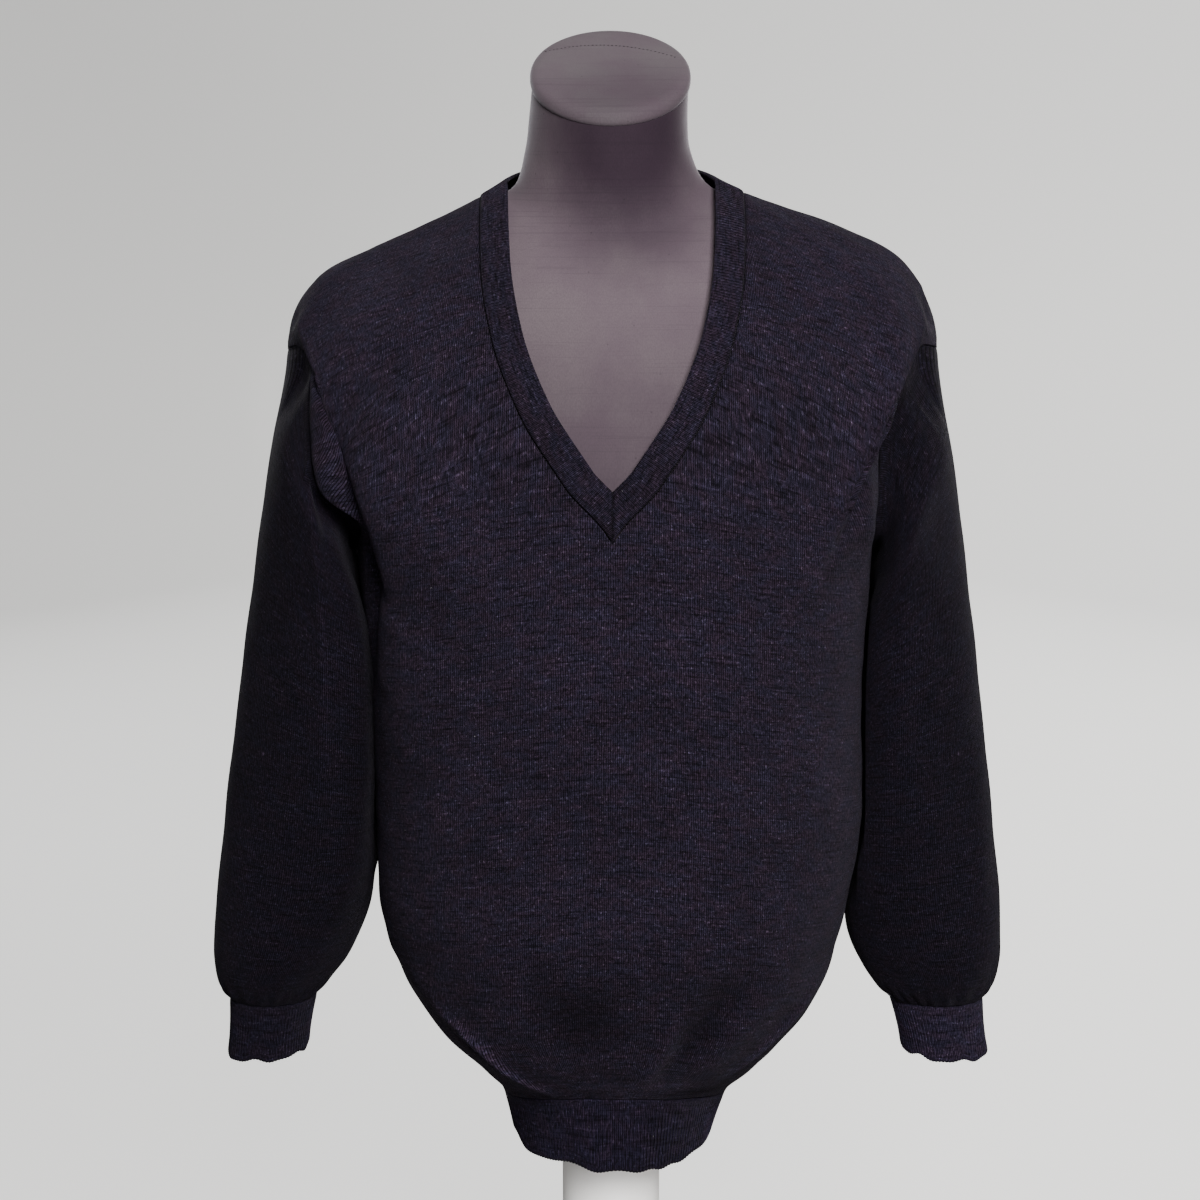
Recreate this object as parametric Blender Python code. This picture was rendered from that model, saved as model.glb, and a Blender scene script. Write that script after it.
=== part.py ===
# V-neck sweater on a limbless dress form with a pole and a round base.
# Metres, +Z up. The wearer's left is +X and the front faces -Y.
# The origin lies on the floor, under the middle of the base.

import math
from collections import namedtuple

import bmesh
import bpy
from mathutils import Vector

# Cloth
KNIT_WALL = 0.0016
RIB_WALL = 0.0020
RIB_RAISE = 0.0006
SEAM_GAP = 0.0003
STEP = 0.01  # the step, in ring rows and radians, that normals are measured over
SLOPE_LIMIT = 1.5  # how far a curve through the rows may outrun the smaller step beside a row

# Neckband
BAND_WIDTH = 0.022
BAND_RIB_PITCH = 0.0030
BAND_MITRE_COLUMNS = 8
BAND_RISE = 0.06  # how far the band leans off the cloth's slope, for each unit of its width

# Hem rib and cuffs
HEM_RIBS = 200
HEM_WAVES = 9
HEM_WAVE = 0.0014
CUFF_RIBS = 80
CUFF_WAVES = 6
CUFF_WAVE = 0.0012
INSIDE_EVERY = 4  # rib columns on the outside for each column of the plain inside

# Panels: columns over half a turn, and rows in the yoke, beside the armhole and below it
FRONT_COLUMNS = 24
BACK_COLUMNS = 20
YOKE_ROWS = 5
ARMHOLE_ROWS = 5
LOWER_ROWS = 9
# How far each panel's armholes reach in, at its first column and at its last
ARMHOLE_FRONT = (math.radians(31), math.radians(25))
ARMHOLE_BACK = (math.radians(27), math.radians(27))
ARMHOLE_ROUNDNESS = 0.75

# Sleeves
SLEEVE_COLUMNS = 4 * ARMHOLE_ROWS
SLEEVE_ROWS = 13
ARMPIT_FOLD = 0.003
SLEEVE_CLEARANCE = 0.0045

# Dress form, pole and base
FORM_COLUMNS = 32
SHOULDER_CLEARANCE = 0.0008
NECK_CLEARANCE = 0.0016
NECK_CLEARANCE_END = 1.4  # the ring row where the extra room under the neckband ends
CHEST_CLEARANCE = 0.0055
CHEST_CLEARANCE_SPREAD = 0.6
POLE_RADIUS = 0.0375
SOCKET_RADIUS = 0.0380
SOCKET_DEPTH = 0.045
FORM_BOTTOM = 0.505  # the height of the last torso ring
POLE_FOOT = 0.0065
CAP_THICKNESS = 0.011
CAP_RIM = 0.0015  # how far the cap reaches past the neck
BASE_RADIUS = 0.160
BASE_EDGE = 0.012
ROUND_COLUMNS = 32

Ring = namedtuple("Ring", "name minus_x plus_x front back minus_z plus_z front_z back_z square dip")
Height = namedtuple("Height", "name z half_width")
Fold = namedtuple("Fold", "name top_angle bottom_angle top bottom width height")
Section = namedtuple(
    "Section",
    "name outer_z inner_z right_outer right_inner left_outer left_inner front back ridge "
    "right_point left_point",
)

# The cloth's outer surface is a stack of rings round the neck and the body. The half widths on
# the two sides and the depths in front and behind are measured from the middle axis. A ring's
# height runs from minus_z or plus_z at its sides to front_z or back_z, and dip shapes that run.
BODY_RINGS = (
    Ring("band edge", 0.0755, 0.0740, 0.058, 0.066, 1.0250, 1.0265, 0.996, 1.040, 2.0, 1.2),
    Ring("neck seam", 0.0935, 0.0925, 0.070, 0.078, 1.0155, 1.0190, 0.980, 1.018, 2.0, 1.4),
    Ring("inner yoke", 0.1300, 0.1290, 0.090, 0.095, 0.9980, 1.0065, 0.942, 0.985, 2.0, 1.5),
    Ring("middle yoke", 0.1700, 0.1690, 0.107, 0.108, 0.9800, 0.9920, 0.893, 0.942, 2.1, 1.6),
    Ring("shoulder tip", 0.2100, 0.2080, 0.118, 0.116, 0.9590, 0.9700, 0.835, 0.893, 2.2, 1.6),
    Ring("shoulder seam end", 0.2330, 0.2340, 0.124, 0.121, 0.9100, 0.9110, 0.768, 0.830, 2.3, 1.6),
    Ring("underarm", 0.1850, 0.1880, 0.130, 0.124, 0.7600, 0.7580, 0.705, 0.735, 2.4, 1.6),
    Ring("ribcage", 0.1770, 0.1840, 0.133, 0.126, 0.6600, 0.6600, 0.640, 0.650, 2.4, 1.6),
    Ring("waist", 0.1750, 0.1860, 0.136, 0.128, 0.5800, 0.5800, 0.572, 0.575, 2.4, 1.6),
    Ring("belly", 0.1745, 0.1790, 0.137, 0.129, 0.5150, 0.5150, 0.512, 0.508, 2.4, 1.6),
    Ring("low belly", 0.1600, 0.1620, 0.131, 0.124, 0.4480, 0.4480, 0.452, 0.438, 2.3, 1.6),
    Ring("turn", 0.1310, 0.1330, 0.121, 0.112, 0.3990, 0.3990, 0.412, 0.384, 2.2, 1.6),
    Ring("tuck", 0.0990, 0.1090, 0.111, 0.101, 0.3670, 0.3670, 0.390, 0.350, 2.1, 1.6),
    Ring("rib top", 0.0835, 0.0895, 0.100, 0.092, 0.3480, 0.3480, 0.376, 0.342, 2.1, 1.6),
    Ring("rib bottom", 0.0745, 0.0790, 0.090, 0.084, 0.3160, 0.3190, 0.317, 0.300, 2.1, 1.6),
)
NECK_SEAM = 1
SHOULDER_END = 5
UNDERARM = 6
RIB_TOP = 13
RIB_BOTTOM = 14

# Half width of the front neckline at each height
NECKLINE = (
    Height("tip", 0.7880, 0.0000),
    Height("low", 0.8229, 0.0302),
    Height("middle", 0.8679, 0.0600),
    Height("high", 0.9186, 0.0811),
    Height("neck side", 0.9745, 0.0911),
    Height("shoulder", 1.0170, 0.0930),
)

# Soft folds of the body: the angle at the top and at the bottom in degrees from the front
# middle, the heights between which the fold lies, its width in degrees and its height off the cloth
BODY_FOLDS = (
    Fold("right armhole drape", -48, -56, 0.88, 0.60, 13, 0.004),
    Fold("left armhole pouch", 54, 62, 0.90, 0.70, 13, 0.006),
    Fold("right hem crease", -52, -34, 0.47, 0.37, 12, 0.005),
    Fold("right hem hollow", -74, -54, 0.47, 0.37, 12, -0.004),
    Fold("left hem crease", 27, 38, 0.45, 0.37, 12, 0.004),
    Fold("left hem hollow", 6, 12, 0.45, 0.38, 12, -0.003),
    Fold("left hem pouch", 68, 60, 0.47, 0.38, 13, 0.004),
    Fold("right back drape", 214, 206, 0.84, 0.56, 14, 0.005),
    Fold("left back drape", 146, 154, 0.84, 0.56, 14, 0.005),
    Fold("back hem crease", 168, 160, 0.46, 0.36, 13, 0.004),
    Fold("back hem hollow", 196, 204, 0.46, 0.36, 13, -0.003),
)

# Sleeve sections from the armhole to the cuff, with the outer and inner x of each sleeve.
# Ridge is how far the frontmost line of a section lies inward of its middle, and a point over 1
# turns the round front of each sleeve into a soft edge along that line.
SLEEVE_SECTIONS = (
    Section("upper arm", 0.845, 0.748, 0.2450, 0.1860, 0.2440, 0.1890, 0.066, 0.074, 0.004, 1.30, 1.10),
    Section("below armpit", 0.775, 0.712, 0.2570, 0.1760, 0.2555, 0.1800, 0.060, 0.076, 0.007, 1.40, 1.12),
    Section("above the elbow", 0.700, 0.662, 0.2690, 0.1700, 0.2665, 0.1760, 0.056, 0.074, 0.009, 1.40, 1.12),
    Section("elbow", 0.620, 0.602, 0.2810, 0.1690, 0.2775, 0.1750, 0.054, 0.071, 0.010, 1.35, 1.10),
    Section("forearm", 0.550, 0.543, 0.2910, 0.1710, 0.2865, 0.1720, 0.052, 0.068, 0.009, 1.25, 1.08),
    Section("fullest", 0.490, 0.487, 0.2985, 0.1830, 0.2935, 0.1740, 0.050, 0.063, 0.006, 1.12, 1.04),
    Section("turn", 0.453, 0.453, 0.3015, 0.1980, 0.2950, 0.1860, 0.046, 0.054, 0.003, 1.05, 1.00),
    Section("tuck", 0.431, 0.432, 0.2985, 0.2140, 0.2910, 0.1990, 0.040, 0.043, 0.001, 1.00, 1.00),
    Section("sleeve end", 0.4190, 0.4200, 0.2905, 0.2240, 0.2830, 0.2110, 0.0325, 0.0325, 0.0, 1.00, 1.00),
)
CUFF_SECTIONS = (
    Section("cuff top", 0.4187, 0.4197, 0.2905, 0.2240, 0.2830, 0.2110, 0.0325, 0.0325, 0.0, 1.0, 1.0),
    Section("cuff bottom", 0.3720, 0.3770, 0.2935, 0.2315, 0.2875, 0.2230, 0.0300, 0.0300, 0.0, 1.0, 1.0),
)

# The dress form above and below the stretch where it carries the cloth
NECK_RINGS = (
    Ring("neck top", 0.0560, 0.0535, 0.054, 0.054, 1.0930, 1.0930, 1.0640, 1.1220, 2.0, 1.0),
    Ring("neck middle", 0.0583, 0.0530, 0.050, 0.056, 1.0700, 1.0700, 1.0410, 1.0950, 2.0, 1.0),
    Ring("neck low", 0.0612, 0.0550, 0.048, 0.058, 1.0480, 1.0480, 1.0180, 1.0670, 2.0, 1.1),
)
TORSO_RINGS = (
    Ring("shoulder end", 0.1990, 0.1980, 0.111, 0.108, 0.9420, 0.9520, 0.835, 0.880, 2.2, 1.6),
    Ring("arm plate", 0.1920, 0.1920, 0.113, 0.109, 0.9000, 0.9050, 0.805, 0.845, 2.3, 1.6),
    Ring("chest", 0.1740, 0.1740, 0.116, 0.110, 0.8300, 0.8300, 0.770, 0.790, 2.3, 1.6),
    Ring("ribs", 0.1620, 0.1620, 0.114, 0.108, 0.7300, 0.7300, 0.700, 0.710, 2.3, 1.6),
    Ring("waist", 0.1480, 0.1480, 0.104, 0.098, 0.6200, 0.6200, 0.610, 0.610, 2.2, 1.6),
    Ring("hip", 0.1540, 0.1540, 0.110, 0.104, 0.5400, 0.5400, 0.540, 0.540, 2.2, 1.6),
    Ring("bottom curve", 0.1500, 0.1500, 0.106, 0.101, 0.5150, 0.5150, 0.515, 0.515, 2.2, 1.6),
    Ring("bottom edge", 0.1400, 0.1400, 0.097, 0.093, 0.5050, 0.5050, 0.505, 0.505, 2.2, 1.6),
)
CARRIED_ROWS = (0.0, 0.5, 1.0, 1.8, 2.6, 3.4)

MATERIALS = {
    # name: colour, roughness, metallic
    "knit": ((0.018, 0.015, 0.023), 0.95, 0.0),
    "rib": ((0.014, 0.012, 0.019), 0.95, 0.0),
    "jersey": ((0.145, 0.115, 0.135), 0.8, 0.0),
    "pole": ((0.72, 0.70, 0.68), 0.5, 0.0),
    "base": ((0.62, 0.61, 0.60), 0.4, 0.0),
}


def clear_scene():
    for item in list(bpy.data.objects):
        bpy.data.objects.remove(item)


def limited_slope(behind, ahead):
    # The mean of the two steps beside a row. Where both run the same way it stays near the
    # smaller one, and where they turn back it is level.
    mean = 0.5 * (behind + ahead)
    if behind * ahead > 0:
        most = SLOPE_LIMIT * min(abs(behind), abs(ahead))
        return math.copysign(min(abs(mean), most), mean)
    if behind * ahead < 0:
        return 0.0
    return mean


def through(rows, place):
    # The columns after the name, read at a place between the rows on a smooth curve.
    last = len(rows) - 1
    place = min(max(place, 0.0), last)
    low = min(int(place), last - 1)
    t = place - low
    before, first, second, after = (rows[min(max(low + k, 0), last)][1:] for k in (-1, 0, 1, 2))
    values = []
    for a, b, c, d in zip(before, first, second, after):
        slope_b = limited_slope(b - a, c - b)
        slope_c = limited_slope(c - b, d - c)
        values.append(
            (2 * t**3 - 3 * t**2 + 1) * b
            + (t**3 - 2 * t**2 + t) * slope_b
            + (3 * t**2 - 2 * t**3) * c
            + (t**3 - t**2) * slope_c
        )
    return values


def ring_point(rows, angle, place):
    # The angle is 0 at the front middle and grows towards +X.
    minus_x, plus_x, front, back, minus_z, plus_z, front_z, back_z, square, dip = through(rows, place)
    across = math.sin(angle)
    ahead = math.cos(angle)
    half, side_z = (plus_x, plus_z) if across > 0 else (minus_x, minus_z)
    depth, middle_z = (front, front_z) if ahead > 0 else (back, back_z)
    x = math.copysign(half * abs(across) ** (2 / square), across)
    y = -math.copysign(depth * abs(ahead) ** (2 / square), ahead)
    z = side_z + (middle_z - side_z) * abs(ahead) ** dip
    return Vector((x, y, z))


def ring_normal(rows, angle, place):
    last = len(rows) - 1
    around = ring_point(rows, angle + STEP, place) - ring_point(rows, angle - STEP, place)
    down = ring_point(rows, angle, min(place + STEP, last)) - ring_point(rows, angle, max(place - STEP, 0))
    return down.cross(around).normalized()


def bump(distance):
    return math.exp(-distance * distance)


def fold_height(angle, z):
    degrees = math.degrees(angle)
    total = 0.0
    for fold in BODY_FOLDS:
        share = (fold.top - z) / (fold.top - fold.bottom)
        middle = fold.top_angle + (fold.bottom_angle - fold.top_angle) * share
        off = (degrees - middle + 180) % 360 - 180
        along = math.sin(math.pi * share) if 0 < share < 1 else 0.0
        total += fold.height * along * bump(off / fold.width)
    return total


def cloth_point(angle, place):
    # The outer point of the cloth with its folds, and the normal there.
    point = ring_point(BODY_RINGS, angle, place)
    normal = ring_normal(BODY_RINGS, angle, place)
    return point + normal * fold_height(angle, point.z), normal


def neckline_half_width(z):
    if z <= NECKLINE[0].z:
        return 0.0
    for k, (low, high) in enumerate(zip(NECKLINE, NECKLINE[1:])):
        if z <= high.z:
            return through(NECKLINE, k + (z - low.z) / (high.z - low.z))[1]
    return NECKLINE[-1].half_width


def front_start(angle):
    # The ring row at which the front panel starts, on the V neckline.
    low, high = float(NECK_SEAM), float(SHOULDER_END)
    for _ in range(40):
        middle = (low + high) / 2
        point = ring_point(BODY_RINGS, angle, middle)
        if abs(point.x) < neckline_half_width(point.z) or (angle == 0 and point.z > NECKLINE[0].z):
            low = middle
        else:
            high = middle
    return high


def armhole_share(place):
    share = (place - SHOULDER_END) / (UNDERARM - SHOULDER_END)
    return math.sin(math.pi * share) ** ARMHOLE_ROUNDNESS if 0 < share < 1 else 0.0


def panel_rows(start):
    # The ring rows of a panel's column that starts at this row.
    yoke = [start + (SHOULDER_END - start) * k / YOKE_ROWS for k in range(YOKE_ROWS)]
    side = [SHOULDER_END + k / ARMHOLE_ROWS for k in range(ARMHOLE_ROWS)]
    below = [UNDERARM + (RIB_TOP - UNDERARM) * k / LOWER_ROWS for k in range(LOWER_ROWS + 1)]
    return yoke + side + below


def new_object(name, bm, material):
    bmesh.ops.recalc_face_normals(bm, faces=bm.faces)
    mesh = bpy.data.meshes.new(name)
    bm.to_mesh(mesh)
    bm.free()
    mesh.shade_smooth()
    mesh.set_sharp_from_angle(angle=math.radians(40))
    mesh.materials.append(material)
    item = bpy.data.objects.new(name, mesh)
    bpy.context.scene.collection.objects.link(item)
    return item


def add_points(bm, rows):
    return [[bm.verts.new(point) for point in row] for row in rows]


def add_sheet(bm, rows):
    for upper, lower in zip(rows, rows[1:]):
        for k in range(len(upper) - 1):
            corners = []
            for vert in (upper[k], upper[k + 1], lower[k + 1], lower[k]):
                if vert not in corners:
                    corners.append(vert)
            bm.faces.new(corners)


def zip_edges(bm, first, second):
    # Triangles between two rows of points that run the same way, whatever their counts.
    a, b = 0, 0
    while a < len(first) - 1 or b < len(second) - 1:
        next_a = (a + 1) / (len(first) - 1) if a < len(first) - 1 else 2.0
        next_b = (b + 1) / (len(second) - 1) if b < len(second) - 1 else 2.0
        if next_a <= next_b:
            corners = (first[a], first[a + 1], second[b])
            a += 1
        else:
            corners = (first[a], second[b + 1], second[b])
            b += 1
        bm.faces.new(corners)


def closed_rows(rows):
    return [row + [row[0]] for row in rows]


def tube(name, outer, inner, material):
    # A wall between two stacks of closed rings, open at both ends.
    bm = bmesh.new()
    outside = closed_rows(add_points(bm, outer))
    inside = closed_rows(add_points(bm, inner))
    add_sheet(bm, outside)
    add_sheet(bm, inside)
    for end in (0, -1):
        zip_edges(bm, outside[end], inside[end])
    return new_object(name, bm, material)


def sheet_wall(name, outer, inner, material):
    # A wall between two open grids of the same size, closed along its four edges.
    bm = bmesh.new()
    outside = add_points(bm, outer)
    inside = add_points(bm, inner)
    add_sheet(bm, outside)
    add_sheet(bm, inside)
    for end in (0, -1):
        zip_edges(bm, outside[end], inside[end])
        zip_edges(bm, [row[end] for row in outside], [row[end] for row in inside])
    return new_object(name, bm, material)


def panel_grid(columns, middle_angle, starts, armhole):
    # Outer points and normals of a panel, row by row. Its side edges step back half a seam.
    # The armhole pair holds how far the opening reaches in on the first and on the last column.
    count = len(panel_rows(NECK_SEAM))
    rows = [[] for _ in range(count)]
    for k in range(columns + 1):
        share = 2 * k / columns - 1
        start = starts(share)
        places = panel_rows(start)
        for row, place in zip(rows, places):
            opening = armhole[1] if share > 0 else armhole[0]
            edge = math.pi / 2 - opening * armhole_share(place)
            point, normal = cloth_point(middle_angle + share * edge, place)
            if k in (0, columns):
                point.y -= math.copysign(SEAM_GAP / 2, math.cos(middle_angle))
            row.append((point, normal))
    return rows


def walls(rows, thickness):
    outer = [[point for point, _ in row] for row in rows]
    inner = [[point - normal * thickness for point, normal in row] for row in rows]
    return outer, inner


def front_rows():
    return panel_grid(FRONT_COLUMNS, 0.0, lambda share: front_start(share * math.pi / 2), ARMHOLE_FRONT)


def back_rows():
    return panel_grid(BACK_COLUMNS, math.pi, lambda share: float(NECK_SEAM), ARMHOLE_BACK)


def build_panel(name, rows, material):
    outer, inner = walls(rows, KNIT_WALL)
    lift = Vector((0, 0, SEAM_GAP))
    outer[-1] = [point + lift for point in outer[-1]]
    inner[-1] = [point + lift for point in inner[-1]]
    return sheet_wall(name, outer, inner, material)


def seam_reader(points):
    # A function that gives the place, direction and normal at a length along a closed seam.
    # Directions turn smoothly from point to point, but for the corner at the seam's start.
    spans = [(points[(k + 1) % len(points)][0] - points[k][0]).length for k in range(len(points))]
    directions = []
    for k in range(len(points)):
        ahead = points[(k + 1) % len(points)][0] - points[k][0]
        behind = points[k][0] - points[k - 1][0]
        directions.append((ahead.normalized() + behind.normalized()).normalized())

    def read(length):
        length %= sum(spans)
        k = 0
        while k < len(spans) - 1 and length > spans[k]:
            length -= spans[k]
            k += 1
        share = min(length / spans[k], 1.0)
        after = (k + 1) % len(points)
        place = points[k][0].lerp(points[after][0], share)
        first = points[k + 1][0] - points[k][0] if k == 0 else directions[k]
        last = points[after][0] - points[k][0] if after == 0 else directions[after]
        along = first.normalized().lerp(last.normalized(), share).normalized()
        normal = points[k][1].lerp(points[after][1], share).normalized()
        return place, along, normal

    return read, sum(spans)


def band_columns(read, total, ribs, mitre, raised):
    # Pairs of points on the band's seam edge and free edge, with their normals. The columns next
    # to the V's tip end on the mitre, the middle plane.
    half = total / 2
    place, along, normal = read(1e-5)
    inward = normal.cross(along)
    mitre_length = BAND_WIDTH * abs(along.x) / abs(inward.x)
    columns = []
    steps = ribs - mitre
    lengths = [mitre_length * k / mitre for k in range(mitre)]
    lengths += [mitre_length + (half - mitre_length) * k / steps for k in range(steps + 1)]
    for k, length in enumerate(lengths):
        place, along, normal = read(max(length, 1e-5))
        inward = normal.cross(along).normalized()
        if inward.dot(Vector((-place.x, -place.y, 0.02))) < 0:
            inward.negate()
        reach = BAND_WIDTH
        if k <= mitre:
            reach = BAND_WIDTH * k / mitre
        lean = (inward + normal * BAND_RISE).normalized()
        rise = normal * (RIB_RAISE if raised and k % 2 and k > 0 else 0.0)
        seam = place + inward * SEAM_GAP
        free = seam + lean * reach
        if k == 0:
            seam.x = 0.0
        if k <= mitre:
            free.x = 0.0
        columns.append((seam + rise, free + (rise if k > mitre else normal * 0.0), normal))
    return columns


def build_band(front, back, material):
    # The seam runs from the V's tip up the +X leg, round the back and down the -X leg.
    middle = FRONT_COLUMNS // 2
    loop = [front[0][k] for k in range(middle, FRONT_COLUMNS)]
    loop += [back[0][k] for k in range(BACK_COLUMNS + 1)]
    loop += [front[0][k] for k in range(1, middle)]
    read, total = seam_reader(loop)
    ribs = 2 * round(total / BAND_RIB_PITCH / 2)
    bm = bmesh.new()
    sides = []
    for count, mitre, depth, raised in (
        (ribs, BAND_MITRE_COLUMNS, 0.0, True),
        (ribs // INSIDE_EVERY, BAND_MITRE_COLUMNS // 2, RIB_WALL, False),
    ):
        columns = band_columns(read, total, count, mitre, raised)
        seam, free = [], []
        for k, (low, high, normal) in enumerate(columns):
            seam.append(bm.verts.new(low - normal * depth))
            free.append(seam[0] if k == 0 else bm.verts.new(high - normal * depth))
        mirror_seam = [seam[0]]
        mirror_free = [seam[0]]
        for k in range(1, len(seam)):
            at_back = k == len(seam) - 1
            flip = Vector((-1, 1, 1))
            mirror_seam.append(seam[k] if at_back else bm.verts.new(seam[k].co * flip))
            shared = at_back or k <= mitre
            mirror_free.append(free[k] if shared else bm.verts.new(free[k].co * flip))
        add_sheet(bm, [free, seam])
        add_sheet(bm, [mirror_free, mirror_seam])
        sides.append((seam + mirror_seam[-2::-1], free[mitre:] + mirror_free[-2:mitre - 1:-1]))
    for outer, inner in zip(*sides):
        zip_edges(bm, outer, inner)
    return new_object("neckband", bm, material)


def build_hem(material):
    drop = Vector((0, 0, -SEAM_GAP))
    outer, inner = [], []
    for place in (RIB_TOP, RIB_BOTTOM):
        outer_ring, inner_ring = [], []
        for k in range(2 * HEM_RIBS):
            angle = math.pi * k / HEM_RIBS
            point = ring_point(BODY_RINGS, angle, place) + drop
            normal = ring_normal(BODY_RINGS, angle, place)
            if place == RIB_BOTTOM:
                point.z += HEM_WAVE * math.sin(HEM_WAVES * angle)
            outer_ring.append(point + normal * (RIB_RAISE if k % 2 else 0.0))
            if k % INSIDE_EVERY == 0:
                inner_ring.append(point - normal * RIB_WALL)
        outer.append(outer_ring)
        inner.append(inner_ring)
    return tube("hem_rib", outer, inner, material)


def body_half_width(side, y, z):
    # How far the cloth of the body reaches to a side at this depth and height.
    low, high = float(SHOULDER_END), float(RIB_TOP)
    for _ in range(30):
        middle = (low + high) / 2
        if ring_point(BODY_RINGS, side * math.pi / 2, middle).z > z:
            low = middle
        else:
            high = middle
    ring = Ring("", *through(BODY_RINGS, low))
    depth = ring.front if y < 0 else ring.back
    half = ring.plus_x if side > 0 else ring.minus_x
    return half * (1 - min(abs(y) / depth, 1.0) ** ring.square) ** (1 / ring.square)


def section_point(rows, side, angle, place):
    # The angle is 0 on the outer side of the sleeve and grows towards the front.
    outer_z, inner_z, *values, front, back, ridge, right_point, left_point = through(rows, place)
    outer_x, inner_x = values[:2] if side < 0 else values[2:]
    point = right_point if side < 0 else left_point
    ahead = math.sin(angle)
    outward = math.cos(angle)
    x = (outer_x + inner_x) / 2 + outward * (outer_x - inner_x) / 2
    y = -ahead * back
    if ahead > 0:
        x -= ridge * ahead * ahead
        y = -front * ahead**point
    z = outer_z + (inner_z - outer_z) * (1 - outward) / 2
    x = max(x, body_half_width(side, y, z) + SLEEVE_CLEARANCE)
    return Vector((side * x, y, z))


def armhole_edge(side, front, back):
    # Points and normals round the armhole, from the shoulder seam down the front and up the back.
    rows = range(YOKE_ROWS, YOKE_ROWS + ARMHOLE_ROWS + 1)
    front_edge = [front[r][-1 if side > 0 else 0] for r in rows]
    back_edge = [back[r][0 if side > 0 else -1] for r in rows]
    edge = []
    for first, second in zip(front_edge, front_edge[1:]):
        edge += [first, (first[0].lerp(second[0], 0.5), first[1].lerp(second[1], 0.5).normalized())]
    for first, second in zip(back_edge[::-1], back_edge[-2::-1]):
        edge += [first, (first[0].lerp(second[0], 0.5), first[1].lerp(second[1], 0.5).normalized())]
    for k in (0, len(edge) // 2):
        edge[k] = (Vector((edge[k][0].x, 0, edge[k][0].z)), edge[k][1])
    return edge


def sleeve_rows(side, front, back):
    # Outer points of the sleeve, ring by ring, and the normals at its armhole edge.
    edge = armhole_edge(side, front, back)
    middle = sum((point for point, _ in edge), Vector()) / len(edge)
    seam, turned = [], []
    for k, (point, normal) in enumerate(edge):
        along = edge[(k + 1) % len(edge)][0] - edge[k - 1][0]
        way = normal.cross(along).normalized()
        if way.dot(middle - point) < 0:
            way.negate()
        under = (1 - math.cos(2 * math.pi * k / len(edge))) / 2
        seam.append(point + way * SEAM_GAP)
        turned.append(point + way * (SEAM_GAP + ARMPIT_FOLD) + normal * ARMPIT_FOLD * under)
    rows = [seam, turned]
    last = len(SLEEVE_SECTIONS) - 1
    for r in range(SLEEVE_ROWS + 1):
        angles = (2 * math.pi * k / SLEEVE_COLUMNS for k in range(SLEEVE_COLUMNS))
        rows.append([section_point(SLEEVE_SECTIONS, side, angle, last * r / SLEEVE_ROWS) for angle in angles])
    return rows, [normal for _, normal in edge]


def moved_inward(rows, thickness, first_normals):
    # The same rings moved inward along the normals of their surface.
    count = len(rows[0])
    inner = [[point - normal * thickness for point, normal in zip(rows[0], first_normals)]]
    for r in range(1, len(rows)):
        above = rows[r - 1]
        below = rows[min(r + 1, len(rows) - 1)]
        ring = []
        for k, point in enumerate(rows[r]):
            around = rows[r][(k + 1) % count] - rows[r][k - 1]
            normal = (below[k] - above[k]).cross(around).normalized()
            ring.append(point - normal * thickness)
        inner.append(ring)
    return inner


def build_sleeve(name, side, front, back, material):
    rows, normals = sleeve_rows(side, front, back)
    if side > 0:
        rows = [row[:1] + row[:0:-1] for row in rows]
        normals = normals[:1] + normals[:0:-1]
    return tube(name, rows, moved_inward(rows, KNIT_WALL, normals), material)


def build_cuff(name, side, material):
    outer, inner = [], []
    for place in (0, 1):
        ring = []
        for k in range(2 * CUFF_RIBS):
            angle = math.pi * k / CUFF_RIBS
            point = section_point(CUFF_SECTIONS, side, angle, place)
            outward = Vector((side * math.cos(angle), -math.sin(angle), 0))
            if place == 1:
                point.z += CUFF_WAVE * math.sin(CUFF_WAVES * angle)
            ring.append((point, outward, RIB_RAISE if k % 2 else 0.0))
        outer.append([point + outward * rise for point, outward, rise in ring])
        inner.append([point - outward * RIB_WALL for point, outward, _ in ring[::INSIDE_EVERY]])
    return tube(name, outer, inner, material)


def form_clearance(angle, place):
    # Almost none on the shoulders, more in front and behind, where the cloth hangs free.
    chest = abs(math.cos(angle)) ** CHEST_CLEARANCE_SPREAD * CHEST_CLEARANCE * min(1.0, 0.2 + place / 2)
    neck = NECK_CLEARANCE * max(0.0, NECK_CLEARANCE_END - place)
    return SHOULDER_CLEARANCE + chest + neck


def build_form(material):
    angles = [2 * math.pi * k / FORM_COLUMNS for k in range(FORM_COLUMNS)]
    rings = [[ring_point(NECK_RINGS, angle, k) for angle in angles] for k in range(len(NECK_RINGS))]
    for place in CARRIED_ROWS:
        ring = []
        for angle in angles:
            normal = ring_normal(BODY_RINGS, angle, place)
            point = ring_point(BODY_RINGS, angle, place)
            ring.append(point - normal * (KNIT_WALL + form_clearance(angle, place)))
        rings.append(ring)
    rings += [[ring_point(TORSO_RINGS, angle, k) for angle in angles] for k in range(len(TORSO_RINGS))]
    for radius, z in ((SOCKET_RADIUS, FORM_BOTTOM), (SOCKET_RADIUS, FORM_BOTTOM + SOCKET_DEPTH)):
        rings.append([Vector((radius * math.sin(a), -radius * math.cos(a), z)) for a in angles])
    bm = bmesh.new()
    rows = closed_rows(add_points(bm, rings))
    add_sheet(bm, rows)
    bm.faces.new(rows[0][:-1])
    bm.faces.new(rows[-1][:-1])
    return new_object("form_torso", bm, material)


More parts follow.
